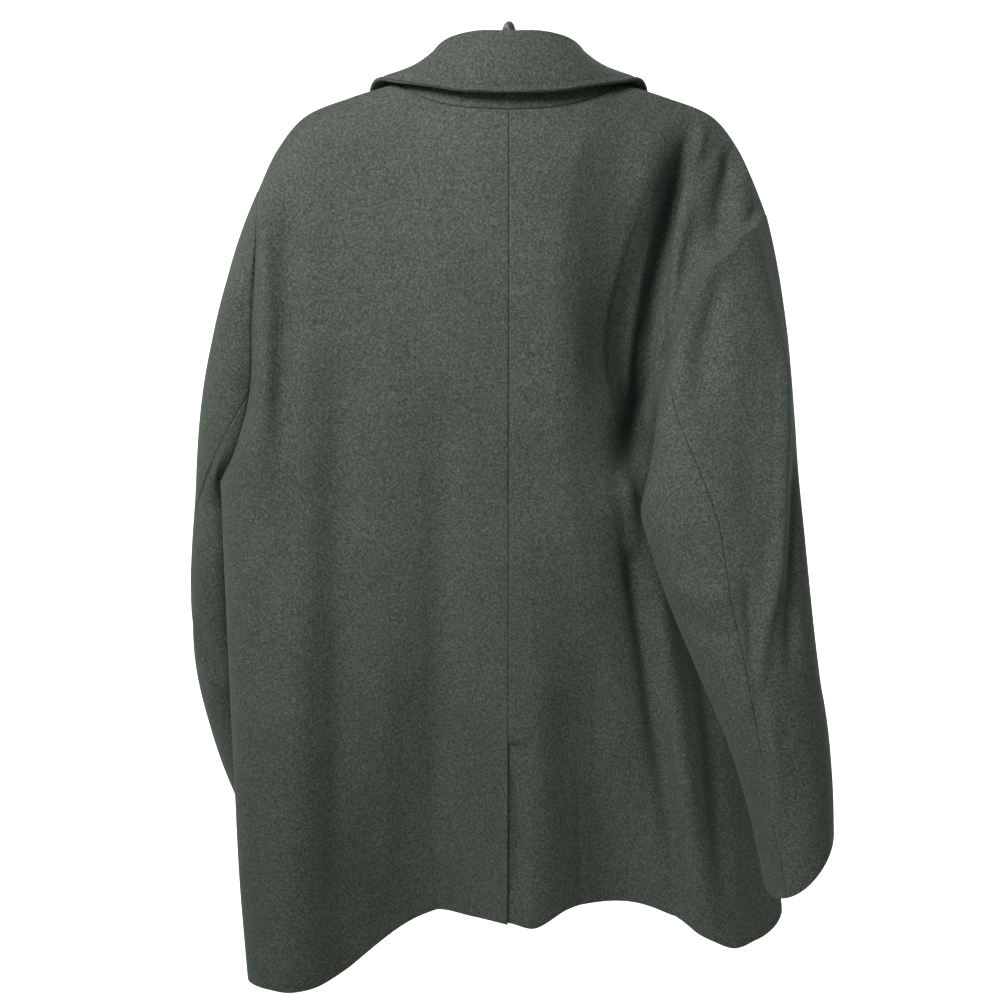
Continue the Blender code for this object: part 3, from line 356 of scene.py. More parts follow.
def add_folds(grid, normal, folds):
    """Push soft ridges and troughs into a panel whose out-distances are positive."""
    moved = grid.copy()
    for _name, x0, z0, x1, z1, x2, z2, centre_width, sleeve_width, depth in folds:
        height = grid[:, :, 2]
        line = smooth_read((z2, z1, z0), (x2, x1, x0), height.ravel()).reshape(height.shape)
        beside = grid[:, :, 0] - line
        beside = beside / np.where(beside < 0, centre_width, sleeve_width)
        fade = smooth_step(z0 + FOLD_END / 2, z0 - FOLD_END, height)
        fade *= smooth_step(z2 - FOLD_END, z2 + FOLD_END, height)
        moved += (depth * np.exp(-(beside**2)) * fade)[:, :, None] * normal
    return moved

# %% [markdown]
# ## Creases that only the fine cloth shows
# Cloth that hangs by its shoulders also has small, shallow folds: beside the armholes, above the elbows and
# along the back. A crease is a line on the coat with a half width and a depth. Points near the line move
# along the cloth's own normal, by a bell curve, so a crease fades out on each side and at its two ends.

# %% Creases
FACING = {"back": (0, 0.8, 0.6), "front": (0, -0.8, 0.6), "outer": (1, 0, 0), "inner": (-1, 0, 0)}
# side that the crease is on, across and height at three points, half width, depth (minus is a trough)
CREASES = {
    "back_left": (
        ("back", 0.236, -0.110, 0.229, -0.250, 0.238, -0.410, 0.0075, 0.0032),
        ("back", 0.204, -0.090, 0.207, -0.240, 0.226, -0.430, 0.0110, -0.0042),
        ("back", 0.156, -0.270, 0.163, -0.520, 0.180, -0.930, 0.0140, -0.0036),
        ("back", 0.190, -0.330, 0.202, -0.540, 0.226, -0.940, 0.0150, 0.0030),
        ("back", 0.064, -0.300, 0.068, -0.530, 0.078, -0.900, 0.0170, -0.0036),
        ("back", 0.122, -0.560, 0.125, -0.720, 0.132, -0.920, 0.0150, 0.0028),
        ("back", 0.246, -0.480, 0.252, -0.620, 0.262, -0.900, 0.0140, -0.0024),
        ("back", 0.108, -0.150, 0.112, -0.270, 0.104, -0.430, 0.0220, 0.0020),
    ),
    "back_right": (
        ("back", 0.178, -0.070, 0.153, -0.200, 0.140, -0.400, 0.0090, -0.0100),
        ("back", 0.142, -0.070, 0.122, -0.210, 0.096, -0.440, 0.0220, 0.0150),
        ("back", 0.192, -0.060, 0.165, -0.190, 0.156, -0.330, 0.0065, 0.0070),
        ("back", 0.230, -0.080, 0.208, -0.160, 0.197, -0.250, 0.0095, -0.0090),
        ("back", 0.262, -0.150, 0.228, -0.184, 0.196, -0.232, 0.0070, -0.0050),
        ("back", 0.112, -0.410, 0.118, -0.440, 0.130, -0.520, 0.0070, 0.0060),
        ("back", 0.108, -0.390, 0.144, -0.620, 0.198, -0.990, 0.0110, -0.0100),
        ("back", 0.128, -0.410, 0.167, -0.640, 0.218, -0.980, 0.0130, 0.0070),
        ("back", 0.052, -0.140, 0.055, -0.330, 0.056, -0.560, 0.0200, 0.0026),
        ("back", 0.028, -0.560, 0.034, -0.700, 0.046, -0.880, 0.0160, 0.0022),
        ("back", 0.080, -0.560, 0.092, -0.700, 0.112, -0.900, 0.0170, -0.0034),
        ("back", 0.192, -0.520, 0.214, -0.700, 0.240, -0.940, 0.0110, -0.0060),
        ("back", 0.003, -0.715, 0.010, -0.780, 0.006, -0.900, 0.0050, -0.0040),
    ),
    "front_left": (
        ("front", 0.205, -0.300, 0.200, -0.420, 0.190, -0.560, 0.0160, -0.0030),
        ("front", 0.090, -0.520, 0.094, -0.700, 0.090, -0.920, 0.0180, -0.0022),
        ("front", 0.235, -0.500, 0.240, -0.700, 0.236, -0.930, 0.0160, 0.0026),
    ),
    "front_right": (
        ("front", 0.205, -0.300, 0.200, -0.420, 0.192, -0.560, 0.0160, -0.0030),
        ("front", 0.085, -0.540, 0.090, -0.700, 0.096, -0.900, 0.0180, -0.0022),
        ("front", 0.225, -0.520, 0.235, -0.700, 0.240, -0.900, 0.0160, 0.0026),
    ),
    "sleeve_left": (
        ("back", 0.300, -0.480, 0.304, -0.600, 0.300, -0.720, 0.0100, 0.0026),
        ("outer", -0.060, -0.500, -0.075, -0.580, -0.110, -0.640, 0.0120, -0.0034),
        ("outer", -0.030, -0.560, -0.050, -0.620, -0.090, -0.690, 0.0100, -0.0026),
        ("back", 0.334, -0.600, 0.322, -0.640, 0.306, -0.668, 0.0080, -0.0036),
        ("back", 0.330, -0.650, 0.316, -0.676, 0.296, -0.690, 0.0070, 0.0030),
        ("inner", -0.060, -0.560, -0.080, -0.600, -0.110, -0.620, 0.0100, -0.0030),
    ),
    "sleeve_right": (
        ("back", 0.268, -0.260, 0.258, -0.420, 0.246, -0.560, 0.0075, 0.0056),
        ("back", 0.278, -0.370, 0.272, -0.470, 0.268, -0.620, 0.0080, -0.0060),
        ("back", 0.214, -0.170, 0.192, -0.260, 0.176, -0.360, 0.0110, -0.0070),
        ("back", 0.236, -0.280, 0.230, -0.380, 0.226, -0.480, 0.0150, -0.0036),
        ("back", 0.150, -0.505, 0.182, -0.520, 0.222, -0.500, 0.0090, 0.0042),
        ("back", 0.160, -0.540, 0.190, -0.556, 0.226, -0.545, 0.0090, -0.0040),
        ("back", 0.256, -0.450, 0.240, -0.560, 0.226, -0.650, 0.0065, 0.0052),
        ("back", 0.222, -0.480, 0.229, -0.560, 0.238, -0.660, 0.0055, -0.0050),
        ("back", 0.244, -0.600, 0.258, -0.700, 0.262, -0.800, 0.0090, 0.0042),
        ("back", 0.230, -0.660, 0.240, -0.730, 0.246, -0.810, 0.0100, -0.0040),
        ("outer", 0.060, -0.520, 0.085, -0.600, 0.120, -0.640, 0.0120, -0.0030),
    ),
}

CREASE_SHARES = np.linspace(0, 1, 41)  # a crease's curve is cut into 40 straight lengths
CREASE_RISES = 0.25  # shares of its length by which it has its full depth, and from which it fades
CREASE_FADES = 0.70
CREASE_FACES = 0.5  # a point that faces this much towards the crease's side moves by the full depth


def press_creases(grid, normal, side, creases):
    """Move the points near each crease along their normals. Points on other faces of the cloth stay."""
    moved = grid.copy()
    mirror = np.array([SIDES[side], 1.0, 1.0])
    for facing, a0, z0, a1, z1, a2, z2, half_width, depth in creases:
        way = np.array(FACING[facing]) * mirror
        axis = 0 if facing in ("back", "front") else 1
        across = grid[:, :, axis] * (SIDES[side] if axis == 0 else 1.0)
        height = grid[:, :, 2]
        line = run_through(((a0, 0.0, z0), (a1, 0.0, z1), (a2, 0.0, z2)), CREASE_SHARES)
        gap = np.full(height.shape, np.inf)
        place = np.zeros(height.shape)
        for share, start, end in zip(CREASE_SHARES, line, line[1:]):
            run = end - start
            along = ((across - start[0]) * run[0] + (height - start[2]) * run[2]) / (run @ run)
            along = np.clip(along, 0.0, 1.0)
            away = np.hypot(across - start[0] - along * run[0], height - start[2] - along * run[2])
            place = np.where(away < gap, share + along * CREASE_SHARES[1], place)
            gap = np.minimum(gap, away)
        ends = smooth_step(0.0, CREASE_RISES, place) * smooth_step(1.0, CREASE_FADES, place)
        facing_it = smooth_step(0.0, CREASE_FACES, np.sum(normal * way, axis=2))
        push = depth * np.exp(-((gap / half_width) ** 2)) * ends * facing_it
        moved += push[:, :, None] * normal
    return moved


print("creases placed:", sum(len(rows) for rows in CREASES.values()))

# %% [markdown]
# ## A shell of cloth with rounded edges
# A sewn edge isn't a sharp corner: the cloth is turned in and pressed, so it rolls over. Where two rolled
# edges meet, the eye sees a fine dark seam line. A Bevel modifier could round the rims, but it would also
# catch the sharp folds, so the roll is worked out here: extra lines of points go in close to each edge, and
# each point near a rim drops along a quarter circle.

# %% Extra lines close to the edges
ROLL_STEPS = (0.0003, 0.0009, 0.0017)  # distances of the extra lines from a rim


def close_lines(grid, normal, present, rows, columns):
    """Put extra lines of points beside the given rows and columns, on the side that each sign says."""
    for axis, lines in ((0, rows), (1, columns)):
        for index, sign in sorted(lines, reverse=True):
            here = np.take(grid, index, axis)
            beyond = np.take(grid, index + sign, axis)
            way = unit(beyond - here)
            fresh = [here + way * step for step in ROLL_STEPS][::sign]
            normal_here = np.repeat(np.expand_dims(np.take(normal, index, axis), axis), 3, axis)
            at = index + (1 if sign > 0 else 0)
            grid = np.insert(grid, [at] * 3, np.stack(fresh, axis), axis)
            normal = np.insert(normal, [at] * 3, normal_here, axis)
            cell = index if sign > 0 else index - 1
            copy = np.repeat(np.expand_dims(np.take(present, cell, axis), axis), 3, axis)
            present = np.insert(present, [cell] * 3, copy, axis)
    return grid, normal, present


# %% Build a shell
RIM_SPACING = 0.0005


def mesh_object(name, mesh):
    """Turn a bmesh into a mesh object."""
    data = bpy.data.meshes.new(name)
    mesh.to_mesh(data)
    mesh.free()
    return new_object(name, data)


def rim_tree(grid, present):
    """A search tree of points every half millimetre along the open rim of a grid."""
    rows, columns = present.shape
    padded = np.pad(present, 1)
    samples = []
    for i in range(rows + 1):
        for j in range(columns + 1):
            if j < columns and padded[i, j + 1] != padded[i + 1, j + 1]:
                samples.append((grid[i, j], grid[i, j + 1]))
            if i < rows and padded[i + 1, j] != padded[i + 1, j + 1]:
                samples.append((grid[i, j], grid[i + 1, j]))
    points = []
    for start, end in samples:
        count = max(1, int(np.linalg.norm(end - start) / RIM_SPACING))
        points += [start + (end - start) * k / count for k in range(count + 1)]
    tree = kdtree.KDTree(len(points))
    for number, point in enumerate(points):
        tree.insert(point, number)
    tree.balance()
    return tree


def cloth_shell(name, grid, normal, thickness, present=None):
    """A closed shell with rolled rims. Thickness is one size, or one for each point."""
    rows, columns = grid.shape[:2]
    if present is None:
        present = np.ones((rows - 1, columns - 1), bool)
    thickness = np.broadcast_to(thickness, (rows, columns))
    tree = rim_tree(grid, present)
    mesh = bmesh.new()
    corners = {}

    def corner(layer, i, j):
        key = (layer, i, j)
        if key not in corners:
            radius = thickness[i, j] / 2
            away = min(tree.find(grid[i, j])[2], radius)
            drop = radius - math.sqrt(max(0.0, radius**2 - (radius - away) ** 2))
            if away < 1e-6:
                corners[0, i, j] = corners[1, i, j] = mesh.verts.new(grid[i, j] - normal[i, j] * radius)
            else:
                depth = drop if layer == 0 else thickness[i, j] - drop
                corners[key] = mesh.verts.new(grid[i, j] - normal[i, j] * depth)
        return corners[key]

    for i in range(rows - 1):
        for j in range(columns - 1):
            if present[i, j]:
                ring = ((i, j), (i, j + 1), (i + 1, j + 1), (i + 1, j))
                mesh.faces.new([corner(0, *at) for at in ring])
                mesh.faces.new([corner(1, *at) for at in reversed(ring)])
    bmesh.ops.recalc_face_normals(mesh, faces=mesh.faces)
    piece = mesh_object(name, mesh)
    piece.data.shade_smooth()
    return piece


# %% [markdown]
# ## The back and front panels
# Each panel hangs from its half of the neck and its shoulder seam, runs out to the armhole, and below the
# underarm follows sections of the skirt down to the hem. The sections carry the largest waves of the hem.

# %% Columns and rows of a panel
def mirror_to(side, grid):
    """Grids are worked out with out-distances positive. The wearer's right has them negative."""
    return grid * np.array([SIDES[side], 1.0, 1.0])


def shoulder_shares():
    """Columns close up towards the armhole, where the cloth turns."""
    turn = np.arange(1, SHOULDER_COLUMNS + 1) / SHOULDER_COLUMNS * CLOSE_UP
    return np.sin(turn) / math.sin(CLOSE_UP)


def columns_across(neck_columns, neck_share):
    """Where the columns of a panel stand: evenly along the neck, then closing up along the shoulder."""
    neck = np.linspace(0.0, neck_share, neck_columns + 1)
    return np.concatenate([neck, neck_share + (1 - neck_share) * shoulder_shares()])


def skirt_rows(sections, seam, across, down, start):
    """Rows below the underarm: smooth sections between the centre line and the side seam."""
    known = np.arcsin(np.append(sections["across"], 1.0))
    levels = [row[0] for row in sections["down"]]
    seam_down = [row[0] for row in seam]
    edge = smooth_read(seam_down, [row[1:] for row in seam], down)
    edge_at_levels = smooth_read(seam_down, [row[1:] for row in seam], levels)
    table = np.array([[*row[1], edge_at_levels[k][1]] for k, row in enumerate(sections["down"])])
    table_at_rows = smooth_read(levels, table, down)
    hem = np.append(sections["hem"], seam[-1][3])
    grid = np.zeros((len(down), len(across), 3))
    for i, share in enumerate(down):
        reach = edge[i, 0]
        out = start + (reach - start) * across
        turn = np.arcsin(np.clip(np.abs(out) / reach, 0.0, 1.0))
        grid[i, :, 0] = out
        depth = smooth_read(known, table_at_rows[i], turn)
        depth[-1] = edge[i, 1]
        grid[i, :, 1] = depth
        top = CHEST_HEIGHT + (seam[0][3] - CHEST_HEIGHT) * across**2
        low = smooth_read(known, hem, turn)
        row = top + (low - top) * share
        row[-1] = edge[i, 2]
        blend = smooth_step(SEAM_TAKES_OVER, 1.0, across)
        straight = top[-1] + (low[-1] - top[-1]) * share
        grid[i, :, 2] = row + (edge[i, 2] - straight) * blend * (across < 1)
    return grid

# %% Back and front panels
def back_panel(side, skirt_down=SKIRT_ROWS):
    """Half of the back, from the neck and the shoulder seam down to the hem."""
    shoulder = SHOULDER[side]
    across = columns_across(NECK_COLUMNS, shoulder[0][0] / shoulder[-1][0])
    down = np.linspace(0.0, 1.0, ARMHOLE_ROWS + 1)
    neck = run_through(BACK_NECK, np.linspace(0, 1, NECK_COLUMNS + 1))
    top = np.concatenate([neck, run_through(shoulder, shoulder_shares())])
    skirt = skirt_rows(BACK_SECTIONS[side], SIDE_SEAM[side], across, np.array(skirt_down), 0.0)
    armhole = run_through(ARMHOLE_BACK[side], down)
    upper = border_patch(top, skirt[0], run_through(CENTRE_BACK, down), armhole, across, down)
    grid = np.concatenate([upper, skirt[1:]])
    normal = surface_normals(grid, np.array([0.0, 1.0, 0.0]))
    quiet = 1 - smooth_step(QUIET_EDGE, 1.0, across)[None, :, None]
    still = smooth_step(0.0, QUIET_TOP, np.concatenate([down, 1 + np.array(skirt_down[1:])]))[:, None, None]
    folded = add_folds(grid, normal, FOLDS["back_" + side])
    return grid + (folded - grid) * quiet * still


def front_panel(side):
    """Half of the front, which runs past the middle by the overlap."""
    shoulder = SHOULDER[side]
    across = columns_across(FRONT_NECK_COLUMNS, 0.40)
    down = np.linspace(0.0, 1.0, ARMHOLE_ROWS + 1)
    neck = run_through(FRONT_NECK, np.linspace(0, 1, FRONT_NECK_COLUMNS + 1))
    top = np.concatenate([neck, run_through(shoulder, shoulder_shares())])
    skirt = skirt_rows(FRONT_SECTIONS[side], SIDE_SEAM[side], across, np.array(SKIRT_ROWS), -FRONT_OVERLAP)
    armhole = run_through(ARMHOLE_FRONT[side], down)
    upper = border_patch(top, skirt[0], run_through(ROLL_LINE, down), armhole, across, down)
    grid = np.concatenate([upper, skirt[1:]])
    normal = surface_normals(grid, np.array([0.0, -1.0, 0.0]))
    return add_folds(grid, normal, FOLDS["front_" + side])


def tuck_under(own, over):
    """The right front's edge lies behind the left front, from the lowest part of the opening down."""
    tucked = own.copy()
    for i, row in enumerate(own):
        over_depth = np.interp(-row[:, 0], over[i, :, 0], over[i, :, 1])
        under = 1 - smooth_step(FRONT_OVERLAP + 0.002, FRONT_OVERLAP + 0.035, row[:, 0])
        low = smooth_step(-0.290, -0.330, row[0, 2])
        tucked[i, :, 1] += (over_depth + FRONT_STEP - row[:, 1]) * under * low
    return tucked

# %% The vent's underlap
def read_row(points, normals, reach):
    """The point and normal that lie this far along a row of a panel, counted from its first point."""
    along = np.concatenate([[0.0], np.cumsum(np.linalg.norm(np.diff(points, axis=0), axis=1))])
    point = [np.interp(reach, along, points[:, k]) for k in range(3)]
    normal = [np.interp(reach, along, normals[:, k]) for k in range(3)]
    return np.array(point), unit(np.array(normal))


def with_vent(own, over, over_normal):
    """The right back with its underlap, which is made from the left back's points, moved in."""
    top_row = ARMHOLE_ROWS + SKIRT_ROWS.index(VENT_TOP)
    laps = []
    for share in VENT_LAPS:
        lap = np.array([read_row(over[i], over_normal[i], VENT_UNDERLAP * share) for i in range(len(over))])
        laps.append((lap[:, 0] - lap[:, 1] * VENT_STEP) * MIRROR)
    wide = np.concatenate([np.stack(laps, axis=1), own], axis=1)
    sunk = 1 - smooth_step(0.004, VENT_UNDERLAP, wide[:, :, 0])
    sunk[:top_row + 1] = 0.0
    sunk[:, :len(laps)] = 0.0
    wide[:, :, 1] -= VENT_STEP * sunk
    present = np.ones((wide.shape[0] - 1, wide.shape[1] - 1), bool)
    present[:top_row + 1, :len(laps)] = False
    return wide, present

# %% [markdown]
# ## The sleeves
# A coat sleeve has two panels, the top sleeve and the under sleeve. Its seams run down the front and the back
# of the arm. The sleeve hangs as an oval tube that starts square to the armhole and turns down.

# %% Sleeves
def ring_points(row, column_angles):
    """One ring of a sleeve: an oval, read at each column's angle."""
    height, slant, inner, outer, middle, half_depth = row[:6]
    turn = np.radians(column_angles)
    centre = (inner + outer) / 2
    half_width = (outer - inner) / 2
    return np.column_stack([
        centre + half_width * np.cos(turn),
        middle + half_depth * np.sin(turn),
        height + slant * np.cos(turn),
    ])


def sleeve_grid(side, back, front):
    """Rings from the armhole to the cuff. Columns run from the shoulder point round the back to it again."""
    count = 2 * ARMHOLE_ROWS
    loop = np.concatenate([back[:ARMHOLE_ROWS + 1, -1], front[:ARMHOLE_ROWS, -1][::-1]])
    seam = BACK_SEAM_COLUMN[side]
    front_seam = count - ARMHOLE_ROWS // 2
    marks = (0, seam, ARMHOLE_ROWS, front_seam, count)
    rows = np.array(SLEEVES[side])
    heights = rows[:, 0]
    wanted = np.linspace(heights[0], heights[-1], CUFF_ROWS + 1)
    table = smooth_read(-heights, rows, -wanted)
    rings = []
    for row in table:
        angles = np.interp(np.arange(count + 1), marks, (*row[6:10], row[6] + 360.0))
        rings.append(ring_points(row, angles))
    rings = np.array(rings)
    first = rings[0]
    fall = rings[1] - rings[0]
    fall /= np.linalg.norm(fall, axis=1, keepdims=True)
    drop = (loop[:, 2] - loop[:, 2].min()) / (loop[:, 2].max() - loop[:, 2].min())
    flare = 4 * drop * (1 - drop)
    to_side = np.column_stack([np.ones(count + 1), np.sign(loop[:, 1]), np.ones(count + 1)])
    leave = unit(np.array(HEAD_LEAVE[side]) + np.array(HEAD_FLARE) * to_side * flare[:, None])
    span = np.linalg.norm(first - loop, axis=1)[:, None]
    free = smooth_step(0.0, HEAD_FREE, drop)[:, None]
    underarm = unit(UNDERARM_LEAVE + UNDERARM_AIM * (first - loop) / span)
    leave = unit(leave * free + underarm * (1 - free))
    column = np.arange(count + 1)
    start, full, fading, end = HANG_BACK_COLUMNS
    back = (HANG_BACK[side] * smooth_step(start, full, column) * smooth_step(end, fading, column))[:, None]
    leave = unit(leave * (1 - back) + HANG_BACK_LEAVE * back)
    head = []
    for t in np.linspace(0, 1, SLEEVE_HEAD_ROWS + 1)[:-1]:
        head.append(
            (2 * t**3 - 3 * t**2 + 1) * loop
            + (t**3 - 2 * t**2 + t) * leave * span
            + (3 * t**2 - 2 * t**3) * first
            + (t**3 - t**2) * fall * span
        )
    return np.concatenate([np.array(head), rings]), seam, front_seam


def tube_normals(tube):
    """Normals of a grid whose last column lies on its first."""
    across = np.zeros_like(tube)
    across[:, 1:-1] = tube[:, 2:] - tube[:, :-2]
    across[:, 0] = across[:, -1] = tube[:, 1] - tube[:, -2]
    normal = unit(np.cross(np.gradient(tube, axis=0), across))
    middle = tube.mean(axis=1, keepdims=True)
    return normal if np.sum(normal[3:] * (tube - middle)[3:]) > 0 else -normal

# %% [markdown]
# ## Seams
# Two sewn panels end on the same line and share their normals there, so that their rolled edges touch all the
# way and no light comes through. The groove between the two rolls is what the eye sees as a seam.

# %% Seams
def share_edge(normal_a, at_a, normal_b, at_b):
    """Where two panels are sewn together their rims face each other."""
    mean = unit(normal_a[at_a] + normal_b[at_b])
    normal_a[at_a] = mean
    normal_b[at_b] = mean


def seam_normals(normal_a, normal_b, into_a, into_b):
    """The normals two sewn pieces share. Where they nearly close up, these face out of the crease."""
    closing = np.maximum(0.0, -np.sum(normal_a * normal_b, axis=-1, keepdims=True))
    return unit(normal_a + normal_b + 2 * closing * (unit(into_a) + unit(into_b)))

# %% [markdown]
# ## Sew the body together
# The panels are made on positive distances and mirrored for the wearer's right. Where two panels meet, they
# share their normals. The hem is turned up inside, so the cloth is nearly double there for the last 4 cm.

# %% Make the panels' points
HEM_TURN = 0.040
HEM_EXTRA = 0.0022
HEM_RAMP = 0.004  # half of the length over which the turned-up cloth sets in
EASE_ROUNDS = 60
backs, fronts, back_normals, front_normals = {}, {}, {}, {}


def quiet_edges(grid):
    """Creases stop short of the shoulder seam and the side seam, which two panels share."""
    rows = np.arange(grid.shape[0])[:, None]
    columns = np.arange(grid.shape[1])[None, :]
    beside = smooth_step(grid.shape[1] - 1, grid.shape[1] - 1 - 2 * FINE, columns)
    below = smooth_step(ARMHOLE_ROWS - 2 * FINE, ARMHOLE_ROWS, rows)
    return (1 - (1 - beside) * below) * smooth_step(0, FINE, rows)


def ease_corner(grid, column):
    """The corner between neck and shoulder seam leaves a kink that runs down a panel. Cloth eases it out."""
    eased = grid.copy()
    near = slice(column - 2 * FINE, column + 2 * FINE + 1)
    down = smooth_step(0, FINE, np.arange(len(grid)))[:, None, None]
    for _ in range(EASE_ROUNDS):
        between = (eased[:, near.start - 1:near.stop - 1] + eased[:, near.start + 1:near.stop + 1]) / 2
        eased[:, near] += (between - eased[:, near]) * 0.5 * down
    return eased


for side in SIDES:
    back = ease_corner(back_panel(side), NECK_COLUMNS)
    front = front_panel(side)
    if side == "right":
        front = tuck_under(front, front_left_plain)
    else:
        front_left_plain = front
    made = {}
    for piece, panel, outward in (("back_", back, (0, 1, 0)), ("front_", front, (0, -1, 0))):
        panel = mirror_to(side, panel)
        normal = surface_normals(panel, np.array(outward, float))
        creased = press_creases(panel, normal, side, CREASES[piece + side])
        made[piece] = panel + (creased - panel) * quiet_edges(panel)[:, :, None]
    backs[side], fronts[side] = made["back_"], made["front_"]
    back_normals[side] = surface_normals(backs[side], np.array([0.0, 1.0, 0.0]))
    front_normals[side] = surface_normals(fronts[side], np.array([0.0, -1.0, 0.0]))

share_edge(back_normals["left"], np.s_[:, 0], back_normals["right"], np.s_[:, 0])
for side in SIDES:
    back_normals[side][:, 0, 0] = 0.0
    back_normals[side][:, 0] = unit(back_normals[side][:, 0])
    share_edge(back_normals[side], np.s_[0, NECK_COLUMNS:], front_normals[side],
               np.s_[0, FRONT_NECK_COLUMNS:])
    share_edge(back_normals[side], np.s_[ARMHOLE_ROWS:, -1], front_normals[side],
               np.s_[ARMHOLE_ROWS:, -1])
back_length = np.sum(np.linalg.norm(np.diff(backs["left"][:, 0], axis=0), axis=1))
print("centre back seam:", round(back_length, 3), "m")

# %% [markdown]
# ## The collar
# The stand rises from the neck seam inside the collar. The fall is sewn to it on the fold, turns over it, and
# lies outwards on the shoulders. Its layers are pressed together, so its edge is thicker than one cloth.

# %% Collar points
# collar, (out, back, height) from the centre back round to the front end
COLLAR_FOLD = ((0.0, 0.050, -0.009), (0.030, 0.046, -0.009), (0.054, 0.034, -0.014), (0.069, 0.010, -0.025),
               (0.073, -0.018, -0.042), (0.066, -0.044, -0.067), (0.049, -0.062, -0.093))
COLLAR_EDGE = ((0.0, 0.074, -0.0597), (0.042, 0.068, -0.0585), (0.078, 0.051, -0.053),
               (0.106, 0.029, -0.0485), (0.129, 0.004, -0.0460), (0.136, -0.016, -0.060),
               (0.132, -0.032, -0.080), (0.119, -0.047, -0.104), (0.100, -0.060, -0.132))
FOLD_RADIUS = 0.0048
FALL_CROWN = 0.006  # how far the fall swells at the centre back, between its fold and its edge
FALL_CROWN_REACH = 0.085  # the distance out at which this swelling would end
FALL_LEAN = (0.6, 0.8)  # it swells out and up
STAND_LEAN = 0.35  # how far the stand's foot turns to lie in line with the panels it is sewn to
FALL_SHARES = tuple(np.linspace(0, 1, 41)[1:])
PRESSED_FROM_EDGE = 0.0065  # the seam inside the edge is pressed flat, which leaves a faint line above it
PRESSED_HALF_WIDTH = 0.0022
PRESSED_DEPTH = 0.0007
FOLD_TURNS = tuple(np.linspace(180, 12, 16))
STAND_ROWS = 14
UP = np.array([0.0, 0.0, 1.0])


def on_both_sides(half):
    """A line from the centre back out, with its mirror image before it."""
    return np.concatenate([(half * MIRROR)[:0:-1], half])


def fold_and_fall(foot_side):
    """The points and normals of the fall, from the fold's inside round to the edge."""
    along = np.linalg.norm(np.diff(foot_side, axis=0), axis=1)
    shares = np.concatenate([[0.0], np.cumsum(along)]) / np.sum(along)
    fold = on_both_sides(run_through(COLLAR_FOLD, shares))
    edge = on_both_sides(run_through(COLLAR_EDGE, shares))
    out = unit((edge - fold) * np.array([1.0, 1.0, 0.0]))
    facings = [out * math.cos(turn) + UP * math.sin(turn) for turn in np.radians(FOLD_TURNS)]
    rows = [fold + FOLD_RADIUS * facing for facing in facings]
    start = rows[-1]
    fullness = FALL_CROWN * np.maximum(0.0, 1 - np.abs(fold[:, :1]) / FALL_CROWN_REACH)
    for t in FALL_SHARES:
        swell = fullness * 4 * t * (1 - t)
        rows.append(start + (edge - start) * t + (out * FALL_LEAN[0] + UP * FALL_LEAN[1]) * swell)
    fall = np.array(rows)
    normal = surface_normals(fall, UP)
    normal[:len(facings)] = facings
    from_edge = np.linalg.norm(fall - fall[-1], axis=2)
    pressed = PRESSED_DEPTH * np.exp(-(((from_edge - PRESSED_FROM_EDGE) / PRESSED_HALF_WIDTH) ** 2))
    fall = fall - normal * pressed[:, :, None]
    normal = surface_normals(fall, UP)
    normal[:len(facings)] = facings
    return fold, out, fall, normal


halves, half_normals = {}, {}
for side in SIDES:
    neck = np.s_[0, :NECK_COLUMNS + 1]
    front_neck = np.s_[0, FRONT_NECK_COLUMNS - 1::-1]
    halves[side] = np.concatenate([backs[side][neck], fronts[side][front_neck]])
    half_normals[side] = np.concatenate([back_normals[side][neck], front_normals[side][front_neck]])
foot = np.concatenate([halves["right"][:0:-1], halves["left"]])
foot_normals = np.concatenate([half_normals["right"][:0:-1], half_normals["left"]])
fold, collar_out, fall_points, fall_normals = fold_and_fall(halves["left"])
print("collar fall:", round(np.linalg.norm(fall_points[-1] - fall_points[8], axis=1).mean(), 3), "m deep")

# %% The collar's two shells
def free_edges(grid, normal, thickness, name, sides=("top", "bottom", "first", "last")):
    """A shell whose named edges get the extra lines that make the roll."""
    present = np.ones((grid.shape[0] - 1, grid.shape[1] - 1), bool)
    rows = [(0, 1)] if "top" in sides else []
    rows += [(grid.shape[0] - 1, -1)] if "bottom" in sides else []
    columns = [(0, 1)] if "first" in sides else []
    columns += [(grid.shape[1] - 1, -1)] if "last" in sides else []
    grid, normal, present = close_lines(grid, normal, present, rows, columns)
    thick = thickness(grid) if callable(thickness) else thickness
    return cloth_shell(name, grid, normal, thick, present)


fall = free_edges(fall_points, fall_normals, COLLAR_CLOTH, "collar_fall_cloth")
stand_top = fold - collar_out * (FOLD_RADIUS - COLLAR_CLOTH) - UP * 2 * SEAM_GAP
stand_points = np.array([stand_top + (foot - stand_top) * t for t in np.linspace(0, 1, STAND_ROWS + 1)])
stand_normals = surface_normals(stand_points, collar_out[None, :, :])
stand_normals[-1] = unit((1 - STAND_LEAN) * stand_normals[-1] + STAND_LEAN * foot_normals)
stand = free_edges(stand_points, stand_normals, CLOTH, "collar_stand_cloth")
count = len(halves["left"])
for side, shared in (("left", stand_normals[-1][count - 1:]), ("right", stand_normals[-1][:count][::-1])):
    back_normals[side][0, :NECK_COLUMNS + 1] = shared[:NECK_COLUMNS + 1]
    front_normals[side][0, :FRONT_NECK_COLUMNS + 1] = shared[NECK_COLUMNS:][::-1]
print("faces of the fall:", len(fall.data.polygons))

# %% [markdown]
# ## Sew in the sleeves
# The sleeve takes the armhole's own points, so nothing gapes at the seam. Both of its panels come from one
# tube, which keeps the creases running across the seams.

